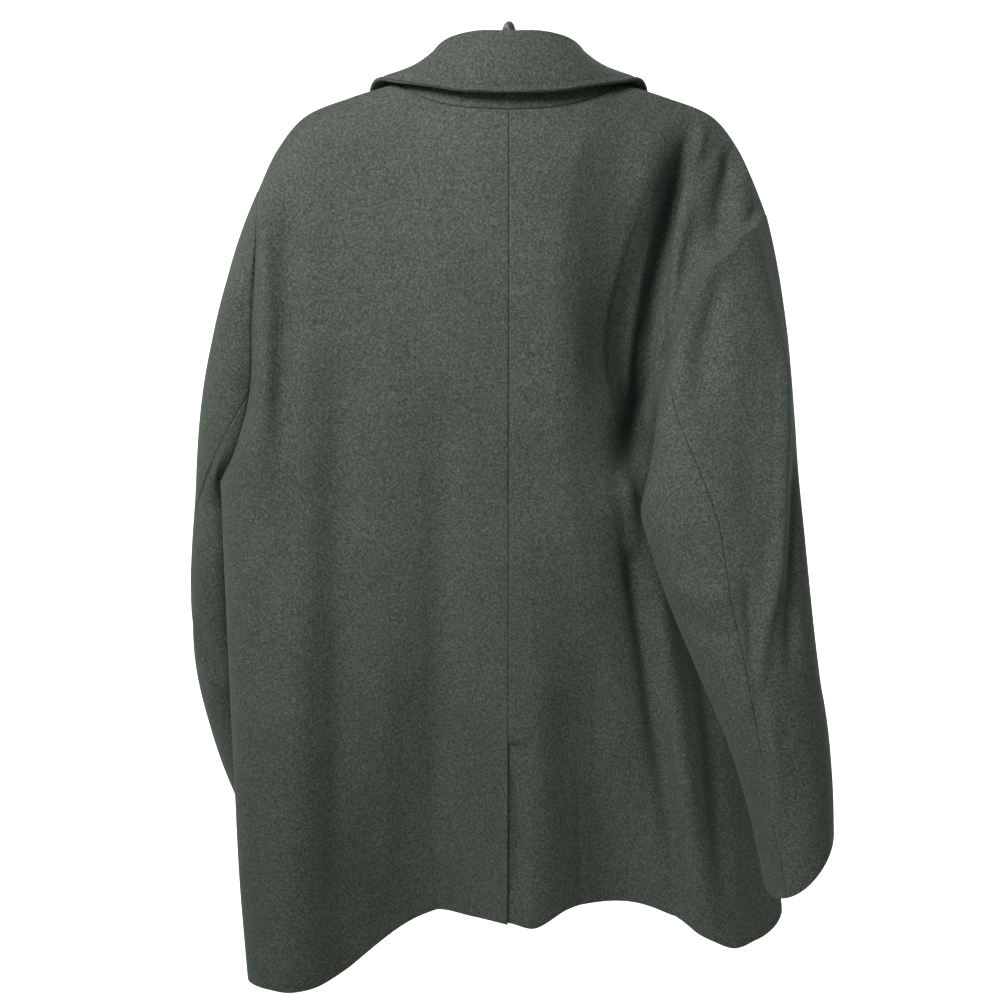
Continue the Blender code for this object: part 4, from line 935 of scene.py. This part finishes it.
# %% Sleeve shells
sleeves = {}
for side in SIDES:
    tube, seam, front_seam = sleeve_grid(side, mirror_to(side, backs[side]), mirror_to(side, fronts[side]))
    tube = mirror_to(side, tube)
    normal = tube_normals(tube)
    creased = press_creases(tube, normal, side, CREASES["sleeve_" + side])
    tube = tube + (creased - tube) * smooth_step(0, FINE, np.arange(len(tube)))[:, None, None]
    normal = tube_normals(tube)
    armhole_normals = np.concatenate([
        back_normals[side][:ARMHOLE_ROWS + 1, -1], front_normals[side][:ARMHOLE_ROWS, -1][::-1]])
    armhole_inside = np.concatenate([
        backs[side][:ARMHOLE_ROWS + 1, -2], fronts[side][:ARMHOLE_ROWS, -2][::-1]])
    mean = seam_normals(armhole_normals, normal[0], armhole_inside - tube[0], tube[1] - tube[0])
    mean[0] = mean[-1] = unit(mean[0] + mean[-1])
    mean[ARMHOLE_ROWS] = unit(mean[ARMHOLE_ROWS] * UNDERARM_FACING)
    normal[0] = mean
    back_normals[side][:ARMHOLE_ROWS + 1, -1] = mean[:ARMHOLE_ROWS + 1]
    front_normals[side][:ARMHOLE_ROWS + 1, -1] = mean[ARMHOLE_ROWS:][::-1]
    for piece, columns in (
        ("under", list(range(seam, front_seam + 1))),
        ("top", list(range(front_seam, 2 * ARMHOLE_ROWS)) + list(range(0, seam + 1))),
    ):
        name = f"sleeve_{piece}_{side}"
        sleeves[name] = free_edges(tube[:, columns], normal[:, columns], CLOTH, name + "_cloth")
print("sleeve pieces:", ", ".join(sleeves))

# %% [markdown]
# ## The shells of the fronts and backs
# The right half of the back has an underlap at the vent. It runs on behind the left half, a few millimetres
# deeper, and starts only below the top of the vent.

# %% Front and left back shells
def hem_thickness(grid):
    """The hem is turned up inside: the cloth grows thicker towards its lowest row."""
    along = np.linalg.norm(np.diff(grid, axis=0), axis=2)
    above = np.concatenate([np.cumsum(along[::-1], axis=0)[::-1], np.zeros((1, grid.shape[1]))])
    return CLOTH + HEM_EXTRA * smooth_step(HEM_TURN + HEM_RAMP, HEM_TURN - HEM_RAMP, above)


panels = {}
for side in SIDES:
    name = "front_" + side
    panels[name] = free_edges(fronts[side], front_normals[side], hem_thickness, name + "_cloth")
panels["back_left"] = free_edges(backs["left"], back_normals["left"], hem_thickness, "back_left_cloth")
print("faces of the left back:", len(panels["back_left"].data.polygons))

# %% Right back shell with its underlap
wide, present = with_vent(mirror_to("right", backs["right"]), backs["left"], back_normals["left"])
laps = len(VENT_LAPS)
lap_normals = np.repeat(back_normals["left"][:, :1], laps, axis=1)
wide_normal = np.concatenate([lap_normals, back_normals["right"]], axis=1)
wide = wide * MIRROR
last_row, last_column = wide.shape[0] - 1, wide.shape[1] - 1
wide, wide_normal, present = close_lines(
    wide, wide_normal, present, [(0, 1), (last_row, -1)], [(0, 1), (laps, 1), (last_column, -1)])
panels["back_right"] = cloth_shell("back_right_cloth", wide, wide_normal, hem_thickness(wide), present)
print("vent underlap:", round(VENT_UNDERLAP * 1000), "mm wide")

# %% [markdown]
# ## The lapels
# On the front the facing turns outwards below the collar. Each lapel lies on its front and is made from the
# front's own points, moved out by the thickness of the cloth.

# %% Lapels
# lapel width at each share of the way down its roll
LAPEL_WIDTH = ((0.0, 0.058), (0.10, 0.078), (0.25, 0.084), (0.60, 0.056), (1.0, 0.012))
LAPEL_SEAT = 0.0014
LAPEL_ROWS = 40
LAPEL_COLUMNS = 16
LAPEL_TOP = 0.45 * FINE
LAPEL_END = 8.0 * FINE
GORGE_DROP = 1.7 * FINE
LAPEL_ROLL = 0.0016  # the free part of a lapel stands a little away from the front


def lapel_points(front, front_normal):
    """Read the front's points across and down, from the roll line to the lapel's edge."""
    widths = np.array(LAPEL_WIDTH)
    points, normals = [], []
    for share in np.linspace(0.0, 1.0, LAPEL_ROWS + 1):
        width = smooth_read(widths[:, 0], widths[:, 1], share)[0]
        for across in np.linspace(0.0, 1.0, LAPEL_COLUMNS + 1):
            row = LAPEL_TOP + (LAPEL_END - LAPEL_TOP) * share + GORGE_DROP * across * (1 - share)
            low = int(row)
            part = row - low
            at_low = read_row(front[low], front_normal[low], width * across)
            at_high = read_row(front[low + 1], front_normal[low + 1], width * across)
            points.append(at_low[0] * (1 - part) + at_high[0] * part)
            normals.append(at_low[1] * (1 - part) + at_high[1] * part)
    shape = (LAPEL_ROWS + 1, LAPEL_COLUMNS + 1, 3)
    return np.array(points).reshape(shape), unit(np.array(normals).reshape(shape))


lapels = {}
for side in SIDES:
    points, normals = lapel_points(fronts[side], front_normals[side])
    lift = LAPEL_SEAT + CLOTH + LAPEL_ROLL * np.linspace(0, 1, LAPEL_COLUMNS + 1)[None, :, None]
    lapels[side] = free_edges(points + normals * lift, normals, CLOTH, f"lapel_{side}_cloth")
print("lapel width at its widest:", max(width for _, width in LAPEL_WIDTH) * 1000, "mm")

# %% [markdown]
# ## Materials
# One function turns the sRGB hex colours of a colour picker to the linear values that a shader wants, and one
# adds a node with its settings and links. Every pattern is laid out in the object's own metres, so its scale
# follows from a real size.

# %% Colour and node helpers
def linear(hex_colour):
    """sRGB hex to linear RGBA."""
    values = [int(hex_colour[k:k + 2], 16) / 255 for k in (1, 3, 5)]
    return (*[v / 12.92 if v <= 0.04045 else ((v + 0.055) / 1.055) ** 2.4 for v in values], 1.0)


def add_node(tree, kind, settings=None, links=None):
    """Add a node. Settings are attributes, or inputs by name. Links name inputs and give their sockets."""
    node = tree.nodes.new(kind)
    for key, value in (settings or {}).items():
        if hasattr(node, key):
            setattr(node, key, value)
        else:
            node.inputs[key].default_value = value
    for key, socket in (links or {}).items():
        tree.links.new(socket, node.inputs[key])
    return node


def new_material(name, settings):
    """A Principled material with its own settings. Returns the material, its tree and its shader."""
    material = bpy.data.materials.new(name)
    material.use_nodes = True
    tree = material.node_tree
    shader = tree.nodes["Principled BSDF"]
    for key, value in settings.items():
        shader.inputs[key].default_value = value
    return material, tree, shader


def two_tones(tree, value, dark, light):
    """Turn a value into a colour between two tones. Each tone is a place on the ramp and a hex colour."""
    made = add_node(tree, "ShaderNodeValToRGB", links={"Fac": value})
    for element, (position, colour) in zip(made.color_ramp.elements, (dark, light)):
        element.position = position
        element.color = linear(colour)
    return made


def scale_of(millimetres):
    """The scale of a noise whose lumps are this wide, in object coordinates of metres."""
    return 1000.0 / millimetres


print("a 2 mm fleck needs a noise scale of", scale_of(2.0))

# %% [markdown]
# ## Melton wool
# Melton is woven from dyed wool, then fulled and brushed until the weave disappears under a short matt nap.
# The yarn is spun from fibres of several greys and a grey-green, so the cloth is heathered. Its fibres are
# only 0.03 mm thick, far too fine for the render, so the flecks are drawn 1.5 to 3 mm wide, as bunches of
# fibres that the eye joins. The nap gives a soft sheen at the edges and no gloss.

# %% Melton wool
WOOL_DARK = "#2b302b"
WOOL_MIDDLE = "#3b413b"
WOOL_LIGHT = "#4d544d"
WOOL_PALE = "#6d736b"

melton_wool, tree, shader = new_material("fulled_and_brushed_melton_wool", {
    "Roughness": 0.95,
    "IOR": 1.5,
    "Specular IOR Level": 0.12,
    "Sheen Weight": 0.07,
    "Sheen Roughness": 0.5,
    "Sheen Tint": linear("#a9b5a8"),
})
place = add_node(tree, "ShaderNodeTexCoord")
heather = add_node(tree, "ShaderNodeTexNoise", {"Scale": scale_of(2.2), "Detail": 4.0, "Roughness": 0.7},
                   {"Vector": place.outputs["Object"]})
heather_colour = two_tones(tree, heather.outputs["Fac"], (0.36, WOOL_DARK), (0.66, WOOL_LIGHT))
heather_colour.color_ramp.elements.new(0.51).color = linear(WOOL_MIDDLE)
print("greys of the heather:", WOOL_DARK, WOOL_MIDDLE, WOOL_LIGHT)

# %% Pale fibres and uneven dye
fibre = add_node(tree, "ShaderNodeTexNoise", {"Scale": scale_of(1.5), "Detail": 1.0, "Roughness": 0.5},
                 {"Vector": place.outputs["Object"]})
fibre_mask = add_node(tree, "ShaderNodeMapRange", {"From Min": 0.62, "From Max": 0.78, "To Max": 0.4},
                      {"Value": fibre.outputs["Fac"]})
with_fibres = add_node(tree, "ShaderNodeMixRGB", {"Color2": linear(WOOL_PALE)},
                       {"Fac": fibre_mask.outputs["Result"], "Color1": heather_colour.outputs["Color"]})
dye = add_node(tree, "ShaderNodeTexNoise", {"Scale": scale_of(70), "Detail": 2.0},
               {"Vector": place.outputs["Object"]})
dye_shade = add_node(tree, "ShaderNodeMapRange", {
    "From Min": 0.3, "From Max": 0.7, "To Min": 0.93, "To Max": 1.06}, {"Value": dye.outputs["Fac"]})
dyed = add_node(tree, "ShaderNodeMixRGB", {"blend_type": "MULTIPLY", "Fac": 1.0},
                {"Color1": with_fibres.outputs["Color"], "Color2": dye_shade.outputs["Result"]})
tree.links.new(dyed.outputs["Color"], shader.inputs["Base Color"])

# %% The nap and the felted ground
NAP_WIDTH = 1.2  # mm
FELT_WIDTH = 9  # mm
nap = add_node(tree, "ShaderNodeTexNoise", {"Scale": scale_of(NAP_WIDTH), "Detail": 3.0, "Roughness": 0.7},
               {"Vector": place.outputs["Object"]})
felt = add_node(tree, "ShaderNodeTexNoise", {"Scale": scale_of(FELT_WIDTH), "Detail": 2.0},
                {"Vector": place.outputs["Object"]})
felt_bump = add_node(tree, "ShaderNodeBump", {"Strength": 0.35, "Distance": 0.0012},
                     {"Height": felt.outputs["Fac"]})
nap_bump = add_node(tree, "ShaderNodeBump", {"Strength": 0.55, "Distance": 0.0005},
                    {"Height": nap.outputs["Fac"], "Normal": felt_bump.outputs["Normal"]})
tree.links.new(nap_bump.outputs["Normal"], shader.inputs["Normal"])
print("nap drawn", NAP_WIDTH, "mm wide; felted ground", FELT_WIDTH, "mm wide")

# %% [markdown]
# ## Button resin, thread, hanger plastic and hook steel
# Coat buttons are turned from cast polyester resin and tumbled until they are satin, with cloudy streaks like
# horn. The buttonholes are worked in twisted silk thread. The hanger is moulded polypropylene with a fine
# spark-eroded grain. The hook is drawn steel wire with a black powder coat.

# %% Turned horn-like resin
button_resin, tree, shader = new_material("turned_polyester_button_resin", {
    "Roughness": 0.32, "IOR": 1.56})
place = add_node(tree, "ShaderNodeTexCoord")
cloud = add_node(tree, "ShaderNodeTexNoise", {"Scale": scale_of(7), "Detail": 4.0, "Distortion": 1.2},
                 {"Vector": place.outputs["Object"]})
cloud_colour = two_tones(tree, cloud.outputs["Fac"], (0.40, "#1c1e1d"), (0.70, "#3a3b37"))
tree.links.new(cloud_colour.outputs["Color"], shader.inputs["Base Color"])
turned = add_node(tree, "ShaderNodeTexNoise", {"Scale": scale_of(0.8), "Detail": 2.0},
                  {"Vector": place.outputs["Object"]})
turned_bump = add_node(tree, "ShaderNodeBump", {"Strength": 0.15, "Distance": 0.0001},
                       {"Height": turned.outputs["Fac"]})
tree.links.new(turned_bump.outputs["Normal"], shader.inputs["Normal"])
print("resin gloss: roughness", shader.inputs["Roughness"].default_value)

# %% Buttonhole thread
thread, tree, shader = new_material("twisted_silk_buttonhole_thread", {
    "Roughness": 0.6, "IOR": 1.54, "Sheen Weight": 0.25})
place = add_node(tree, "ShaderNodeTexCoord")
strands = add_node(tree, "ShaderNodeTexNoise", {"Scale": scale_of(0.9), "Detail": 2.0},
                   {"Vector": place.outputs["Object"]})
strand_colour = two_tones(tree, strands.outputs["Fac"], (0.35, "#2e3433"), (0.65, "#49504e"))
tree.links.new(strand_colour.outputs["Color"], shader.inputs["Base Color"])
print("thread colours set")

# %% Moulded hanger plastic and powder-coated wire
def grained(name, colour_low, colour_high, grain, depth, settings):
    """A material with a fine grain: its colour and its bump follow one noise."""
    material, tree, shader = new_material(name, settings)
    place = add_node(tree, "ShaderNodeTexCoord")
    noise = add_node(tree, "ShaderNodeTexNoise", {"Scale": scale_of(grain), "Detail": 3.0},
                     {"Vector": place.outputs["Object"]})
    colour = two_tones(tree, noise.outputs["Fac"], (0.35, colour_low), (0.70, colour_high))
    bump = add_node(tree, "ShaderNodeBump", {"Strength": 0.3, "Distance": depth},
                    {"Height": noise.outputs["Fac"]})
    tree.links.new(colour.outputs["Color"], shader.inputs["Base Color"])
    tree.links.new(bump.outputs["Normal"], shader.inputs["Normal"])
    return material


hanger_plastic = grained("moulded_polypropylene_with_spark_grain", "#17181a", "#232426", 1.0, 0.0001,
                         {"Roughness": 0.48, "IOR": 1.49})
hook_coat = grained("powder_coated_steel_wire", "#141414", "#242424", 0.8, 0.0001,
                    {"Roughness": 0.35, "IOR": 1.5})
print("hanger and hook finishes made")

# %% [markdown]
# ## Buttons
# A sew-through coat button is a turned disc with a raised rim, a shallow dish and four holes, held by thread.
# The holes are cut by a Boolean, which keeps their edges crisp. Faces that meet at over 40 degrees stay
# sharp.

# %% A turned button with four holes
BUTTON_RADIUS = 0.0125
BUTTON_THICKNESS = 0.004
BUTTON_HEIGHTS = (-0.385, -0.505, -0.625)
BUTTON_PROFILE = ((0.0, 0.0), (0.90, 0.0), (0.97, 0.12), (1.0, 0.35), (1.0, 0.70), (0.97, 0.90), (0.90, 1.0),
                  (0.82, 0.98), (0.75, 0.84), (0.66, 0.72), (0.50, 0.66), (0.0, 0.64))
HOLE_RADIUS = 0.0011
HOLE_SPACING = 0.0019  # from the middle of the button, along both axes
SEGMENTS = 64


def turned(name, profile, radius, height):
    """A disc turned from a profile of radius and height shares. It faces -Y."""
    mesh = bmesh.new()
    centre_low = mesh.verts.new((0.0, 0.0, 0.0))
    centre_high = mesh.verts.new((0.0, -height * profile[-1][1], 0.0))
    rings = []
    for share, rise in profile[1:-1]:
        ring = []
        for k in range(SEGMENTS):
            turn = 2 * math.pi * k / SEGMENTS
            ring.append(mesh.verts.new((radius * share * math.cos(turn), -height * rise,
                                        radius * share * math.sin(turn))))
        rings.append(ring)
    for k in range(SEGMENTS):
        n = (k + 1) % SEGMENTS
        mesh.faces.new((centre_low, rings[0][k], rings[0][n]))
        mesh.faces.new((centre_high, rings[-1][n], rings[-1][k]))
        for ring, following in zip(rings, rings[1:]):
            mesh.faces.new((ring[k], ring[n], following[n], following[k]))
    bmesh.ops.recalc_face_normals(mesh, faces=mesh.faces)
    return mesh_object(name, mesh)


def apply_modifiers(piece):
    """Keep the evaluated mesh and drop the modifiers."""
    evaluated = piece.evaluated_get(bpy.context.evaluated_depsgraph_get())
    piece.data = bpy.data.meshes.new_from_object(evaluated)
    piece.modifiers.clear()


blank = turned("button_blank", BUTTON_PROFILE, BUTTON_RADIUS, BUTTON_THICKNESS)
drill_mesh = bmesh.new()
for x in (-HOLE_SPACING, HOLE_SPACING):
    for z in (-HOLE_SPACING, HOLE_SPACING):
        made = bmesh.ops.create_cone(drill_mesh, segments=20, radius1=HOLE_RADIUS, radius2=HOLE_RADIUS,
                                     depth=0.02, cap_ends=True)
        bmesh.ops.rotate(drill_mesh, verts=made["verts"], cent=(0, 0, 0),
                         matrix=Matrix.Rotation(math.radians(90), 3, "X"))
        bmesh.ops.translate(drill_mesh, verts=made["verts"], vec=(x, 0, z))
drill = mesh_object("drill", drill_mesh)
cut = blank.modifiers.new("holes", "BOOLEAN")
cut.object = drill
cut.solver = "EXACT"
apply_modifiers(blank)
bpy.data.objects.remove(drill)
blank.data.shade_smooth()
blank.data.set_sharp_from_angle(angle=math.radians(40))
print("button:", len(blank.data.polygons), "faces")

# %% Sew the buttons on
def sweep(name, line, radii, sides=16):
    """A round tube along a line of points. Small radii at the two ends make them round."""
    line = np.array(line, float)
    radii = np.broadcast_to(radii, len(line))
    way = unit(np.gradient(line, axis=0))
    aside = unit(np.cross(way[0], (0.13, 0.31, 0.94)))
    mesh = bmesh.new()
    rings = []
    for point, heading, radius in zip(line, way, radii):
        aside = unit(aside - heading * np.dot(aside, heading))
        other = np.cross(heading, aside)
        turns = 2 * math.pi * np.arange(sides) / sides
        rings.append([mesh.verts.new(point + radius * (math.cos(t) * aside + math.sin(t) * other))
                      for t in turns])
    for ring, following in zip(rings, rings[1:]):
        for k in range(sides):
            n = (k + 1) % sides
            mesh.faces.new((ring[k], ring[n], following[n], following[k]))
    mesh.faces.new(rings[0])
    mesh.faces.new(rings[-1])
    bmesh.ops.recalc_face_normals(mesh, faces=mesh.faces)
    piece = mesh_object(name, mesh)
    piece.data.shade_smooth()
    piece.data.set_sharp_from_angle(angle=math.radians(60))
    return piece


def join_meshes(name, pieces):
    """Join several mesh objects into one, with their places applied."""
    mesh = bmesh.new()
    for piece in pieces:
        start = len(mesh.verts)
        mesh.from_mesh(piece.data)
        mesh.verts.ensure_lookup_table()
        bmesh.ops.transform(mesh, matrix=piece.matrix_basis, verts=mesh.verts[start:])
    for piece in pieces:
        bpy.data.objects.remove(piece)
    return mesh_object(name, mesh)


def front_place(height, out):
    """The point and normal of the left front at a height, this far from its edge."""
    rows = fronts["left"][:, :, 2].mean(axis=1)
    at = np.interp(-height, -rows, np.arange(len(rows)))
    low, part = int(at), at - int(at)
    one, facing = read_row(fronts["left"][low], front_normals["left"][low], out)
    two, _ = read_row(fronts["left"][low + 1], front_normals["left"][low + 1], out)
    return one * (1 - part) + two * part, facing


THREAD_RADIUS = 0.00035
buttons = {}
ties = []
for number, height in enumerate(BUTTON_HEIGHTS, start=1):
    cad_low, cad_high = (np.array(corner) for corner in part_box(f"button_{number}"))
    button = new_object(f"button_{number}_turned", blank.data.copy())
    button.location = Vector(((cad_low[0] + cad_high[0]) / 2, cad_high[1], (cad_low[2] + cad_high[2]) / 2))
    buttons[number] = button
    dish = button.location.y - BUTTON_THICKNESS * BUTTON_PROFILE[-1][1]
    for x in (-HOLE_SPACING, HOLE_SPACING):
        for shift in (-0.0004, 0.0004):
            line = [Vector((x + shift, button.location.y - 0.0005, -HOLE_SPACING)),
                    Vector((x + shift, dish - 0.0004, -HOLE_SPACING)),
                    Vector((x + shift, dish - 0.0007, 0.0)),
                    Vector((x + shift, dish - 0.0004, HOLE_SPACING)),
                    Vector((x + shift, button.location.y - 0.0005, HOLE_SPACING))]
            line = [Vector((p.x + button.location.x, p.y, p.z + button.location.z)) for p in line]
            ties.append(sweep("tie", run_through(line, np.linspace(0, 1, 16)), THREAD_RADIUS, 8))
bpy.data.objects.remove(blank)
button_thread = join_meshes("button_thread", ties)
print("buttons at", [round(height, 3) for height in BUTTON_HEIGHTS], "m")

# %% [markdown]
# ## Buttonholes
# Each button closes through a worked buttonhole: a slit with close stitches over both lips. Only the inner
# half shows beside the button. Each stitch is a short thread laid across the lip, on the front's own points.

# %% Buttonhole stitches
HOLE_LENGTH = 0.022
STITCHES = 26
LIP = 0.0016
stitches = []
for height in BUTTON_HEIGHTS:
    for lip in (-1, 1):
        for k in range(STITCHES):
            out = FRONT_OVERLAP + 0.002 + HOLE_LENGTH * k / (STITCHES - 1)
            near, facing = front_place(height + lip * 0.0002, out)
            far, _ = front_place(height + lip * LIP, out)
            lift = facing * THREAD_RADIUS * 0.6
            stitches.append(sweep("stitch", [near + lift * 0.3, near + (far - near) * 0.3 + lift * 1.6,
                                             near + (far - near) * 0.7 + lift * 1.6, far + lift * 0.3],
                                  (0.0002, THREAD_RADIUS, THREAD_RADIUS, 0.0002), 6))
buttonholes = join_meshes("buttonhole_stitches", stitches)
print("stitches:", STITCHES * 2 * len(BUTTON_HEIGHTS))

# %% [markdown]
# ## The hanger and its hook
# The hanger is one moulded bar that follows the shoulders. The hook is bent wire that screws into it. Both
# are tubes swept along the CAD model's own lines, with rounded ends.

# %% Hanger
HANGER_RADIUS = 0.006
HANGER_TIP = (0.186, 0.001, -0.113)
HANGER_DROP = 0.0175  # the arm's middle under the shoulder line
# the hanger's arm (out, back, height) as far as the shoulder line takes over
HANGER_ARM = ((0.0, 0.0, -0.058), (0.040, 0.002, -0.058), (0.080, 0.007, -0.0615))
arm = list(HANGER_ARM)
for out, back, height in SHOULDER["left"][:2]:
    arm.append((out, back, height - HANGER_DROP))
arm.append(HANGER_TIP)
bar_line = on_both_sides(run_through(arm, np.linspace(0, 1, 60)))
from_end = np.minimum(np.arange(len(bar_line)), np.arange(len(bar_line))[::-1])
bar_radii = HANGER_RADIUS * np.sqrt(np.clip(1 - (1 - np.minimum(from_end / 2.0, 1.0)) ** 2, 0.02, 1.0))
bar = sweep("hanger_bar", bar_line, bar_radii, 32)
print("hanger:", round(2 * HANGER_TIP[0], 3), "m wide")

# %% Hook
HOOK_ROD = 0.0035
HOOK_INNER = 0.016
HOOK_TURN = math.radians(-14)  # the hook stands almost square to the hanger
HOOK_MIDDLE = HOOK_INNER + HOOK_ROD  # radius of the bend, to the middle of the wire
foot_height = HANGER_ARM[0][2] + HANGER_RADIUS + SEAM_GAP
path = [(0.0, foot_height), (0.0, foot_height + 0.008)]
for degrees in range(-35, 196, 11):
    turn = math.radians(degrees)
    path.append((HOOK_MIDDLE * math.cos(turn), -HOOK_INNER + HOOK_MIDDLE * math.sin(turn)))
wire_line = run_through([(x * math.sin(HOOK_TURN), x * math.cos(HOOK_TURN), z) for x, z in path],
                        np.linspace(0, 1, 120))
to_tip = np.arange(len(wire_line))[::-1]
wire_radii = HOOK_ROD * np.sqrt(np.clip(1 - (1 - np.minimum(to_tip / 3.0, 1.0)) ** 2, 0.02, 1.0))
wire = sweep("hook_wire", wire_line, wire_radii, 32)
print("hook opening:", round(HOOK_INNER * 2000), "mm across")

# %% [markdown]
# ## Give each piece its material and its place in the frame
# Every new piece rides on the frame's one body and stands for the CAD piece it was made from.

# %% Materials and frame links
cloth_pieces = {**panels, **sleeves, "collar_fall": fall, "collar_stand": stand,
                "lapel_left": lapels["left"], "lapel_right": lapels["right"]}
for node, piece in cloth_pieces.items():
    piece.data.materials.append(melton_wool)
    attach(piece, "root")
    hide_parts(node)
for number, piece in buttons.items():
    piece.data.materials.clear()
    piece.data.materials.append(button_resin)
    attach(piece, "root")
    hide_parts(f"button_{number}")
for piece in (button_thread, buttonholes):
    piece.data.materials.append(thread)
    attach(piece, "root")
for piece, node, material in ((bar, "hanger", hanger_plastic), (wire, "hook", hook_coat)):
    piece.data.materials.append(material)
    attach(piece, "root")
    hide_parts(node)
print("cloth pieces:", len(cloth_pieces))


HANGS_FROM = {"back": "hanger", "front": "hanger", "sleeve": "back_left", "collar": "back_left",
              "lapel": "front_left"}
for node, piece in cloth_pieces.items():
    support = HANGS_FROM[node.split("_")[0]]
    support = support.replace("left", "right") if node.endswith("right") else support

# %% [markdown]
# ## Paper and light
# The coat is shown as in a studio. White paper lies level below it and curves up behind it, so that no
# horizon shows. Behind the coat the paper is lit from its back, as in a light tent, and is as blown out as in
# the photograph. One soft light stands high on the left, which is what shows shallow folds in dark wool, and
# a wider one fills the front, which faces away from the camera.

# %% The paper sweep
PAPER_LEVEL = cad_box[0][2] - 0.35
PAPER_NEAR = 5.0  # how far the level paper runs towards the camera
PAPER_FAR = -3.5  # where it starts to curve up
PAPER_CURVE = 1.5
PAPER_TOP = 2.8
PAPER_HALF_WIDTH = 6.0
profile = [(PAPER_NEAR, PAPER_LEVEL), (PAPER_FAR, PAPER_LEVEL)]
for degrees in range(6, 91, 6):
    turn = math.radians(degrees)
    rise = PAPER_CURVE * (1 - math.cos(turn))
    profile.append((PAPER_FAR - PAPER_CURVE * math.sin(turn), PAPER_LEVEL + rise))
profile.append((profile[-1][0], PAPER_TOP))
paper_mesh = bpy.data.meshes.new("paper_sweep")
corners = [(x, y, z) for y, z in profile for x in (PAPER_HALF_WIDTH, -PAPER_HALF_WIDTH)]
strips = [(2 * k, 2 * k + 1, 2 * k + 3, 2 * k + 2) for k in range(len(profile) - 1)]
paper_mesh.from_pydata(corners, [], strips)
paper_mesh.shade_smooth()
paper = new_object("paper_sweep", paper_mesh)
print("paper level at", round(PAPER_LEVEL, 3), "m")

# %% White paper with a light behind it
paper_white, tree, shader = new_material("backlit_white_studio_paper", {
    "Roughness": 0.9, "Emission Color": (1.0, 1.0, 1.0, 1.0)})
place = add_node(tree, "ShaderNodeTexCoord")
mottle = add_node(tree, "ShaderNodeTexNoise", {"Scale": 3.0, "Detail": 2.0},
                  {"Vector": place.outputs["Object"]})
tone = two_tones(tree, mottle.outputs["Fac"], (0.0, "#f2f2f1"), (1.0, "#f8f8f7"))
tree.links.new(tone.outputs["Color"], shader.inputs["Base Color"])
axes = add_node(tree, "ShaderNodeSeparateXYZ", links={"Vector": place.outputs["Object"]})
glow = add_node(tree, "ShaderNodeMapRange", {
    "From Min": 0.3, "From Max": -0.9, "To Min": 0.0, "To Max": 0.85}, {"Value": axes.outputs["Y"]})
tree.links.new(glow.outputs["Result"], shader.inputs["Emission Strength"])
paper_mesh.materials.append(paper_white)
print("paper glows behind the coat, by", glow.inputs["To Max"].default_value)

# %% Surround and lights
world = bpy.data.worlds.new("studio")
world.use_nodes = True
tree = world.node_tree
surround = tree.nodes["Background"]
surround.inputs["Color"].default_value = (1.0, 1.0, 1.0, 1.0)
way = add_node(tree, "ShaderNodeTexCoord")
across = add_node(tree, "ShaderNodeSeparateXYZ", links={"Vector": way.outputs["Generated"]})
side_light = add_node(tree, "ShaderNodeMapRange", {
    "From Min": -0.8, "From Max": 0.8, "To Min": 0.18, "To Max": 0.62}, {"Value": across.outputs["X"]})
tree.links.new(side_light.outputs["Result"], surround.inputs["Strength"])
bpy.context.scene.world = world
bpy.context.scene.view_settings.view_transform = "Standard"


def soft_light(name, place, target, size, watts, spread):
    """A square soft light that faces a point. The spread is the angle that its honeycomb lets through."""
    data = bpy.data.lights.new(name, "AREA")
    data.size = size
    data.energy = watts
    lamp = new_object(name, data)
    lamp.location = place
    lamp.rotation_euler = (Vector(target) - Vector(place)).to_track_quat("-Z", "Y").to_euler()
    data.spread = math.radians(spread)
    return lamp


UPPER_BACK = (0.0, 0.05, -0.15)
soft_light("key", (0.9, 1.45, 0.95), UPPER_BACK, 0.8, 11.5, 66)
soft_light("front fill", (-1.6, -2.0, 0.8), UPPER_BACK, 1.6, 40.0, 180)
print("lights placed")
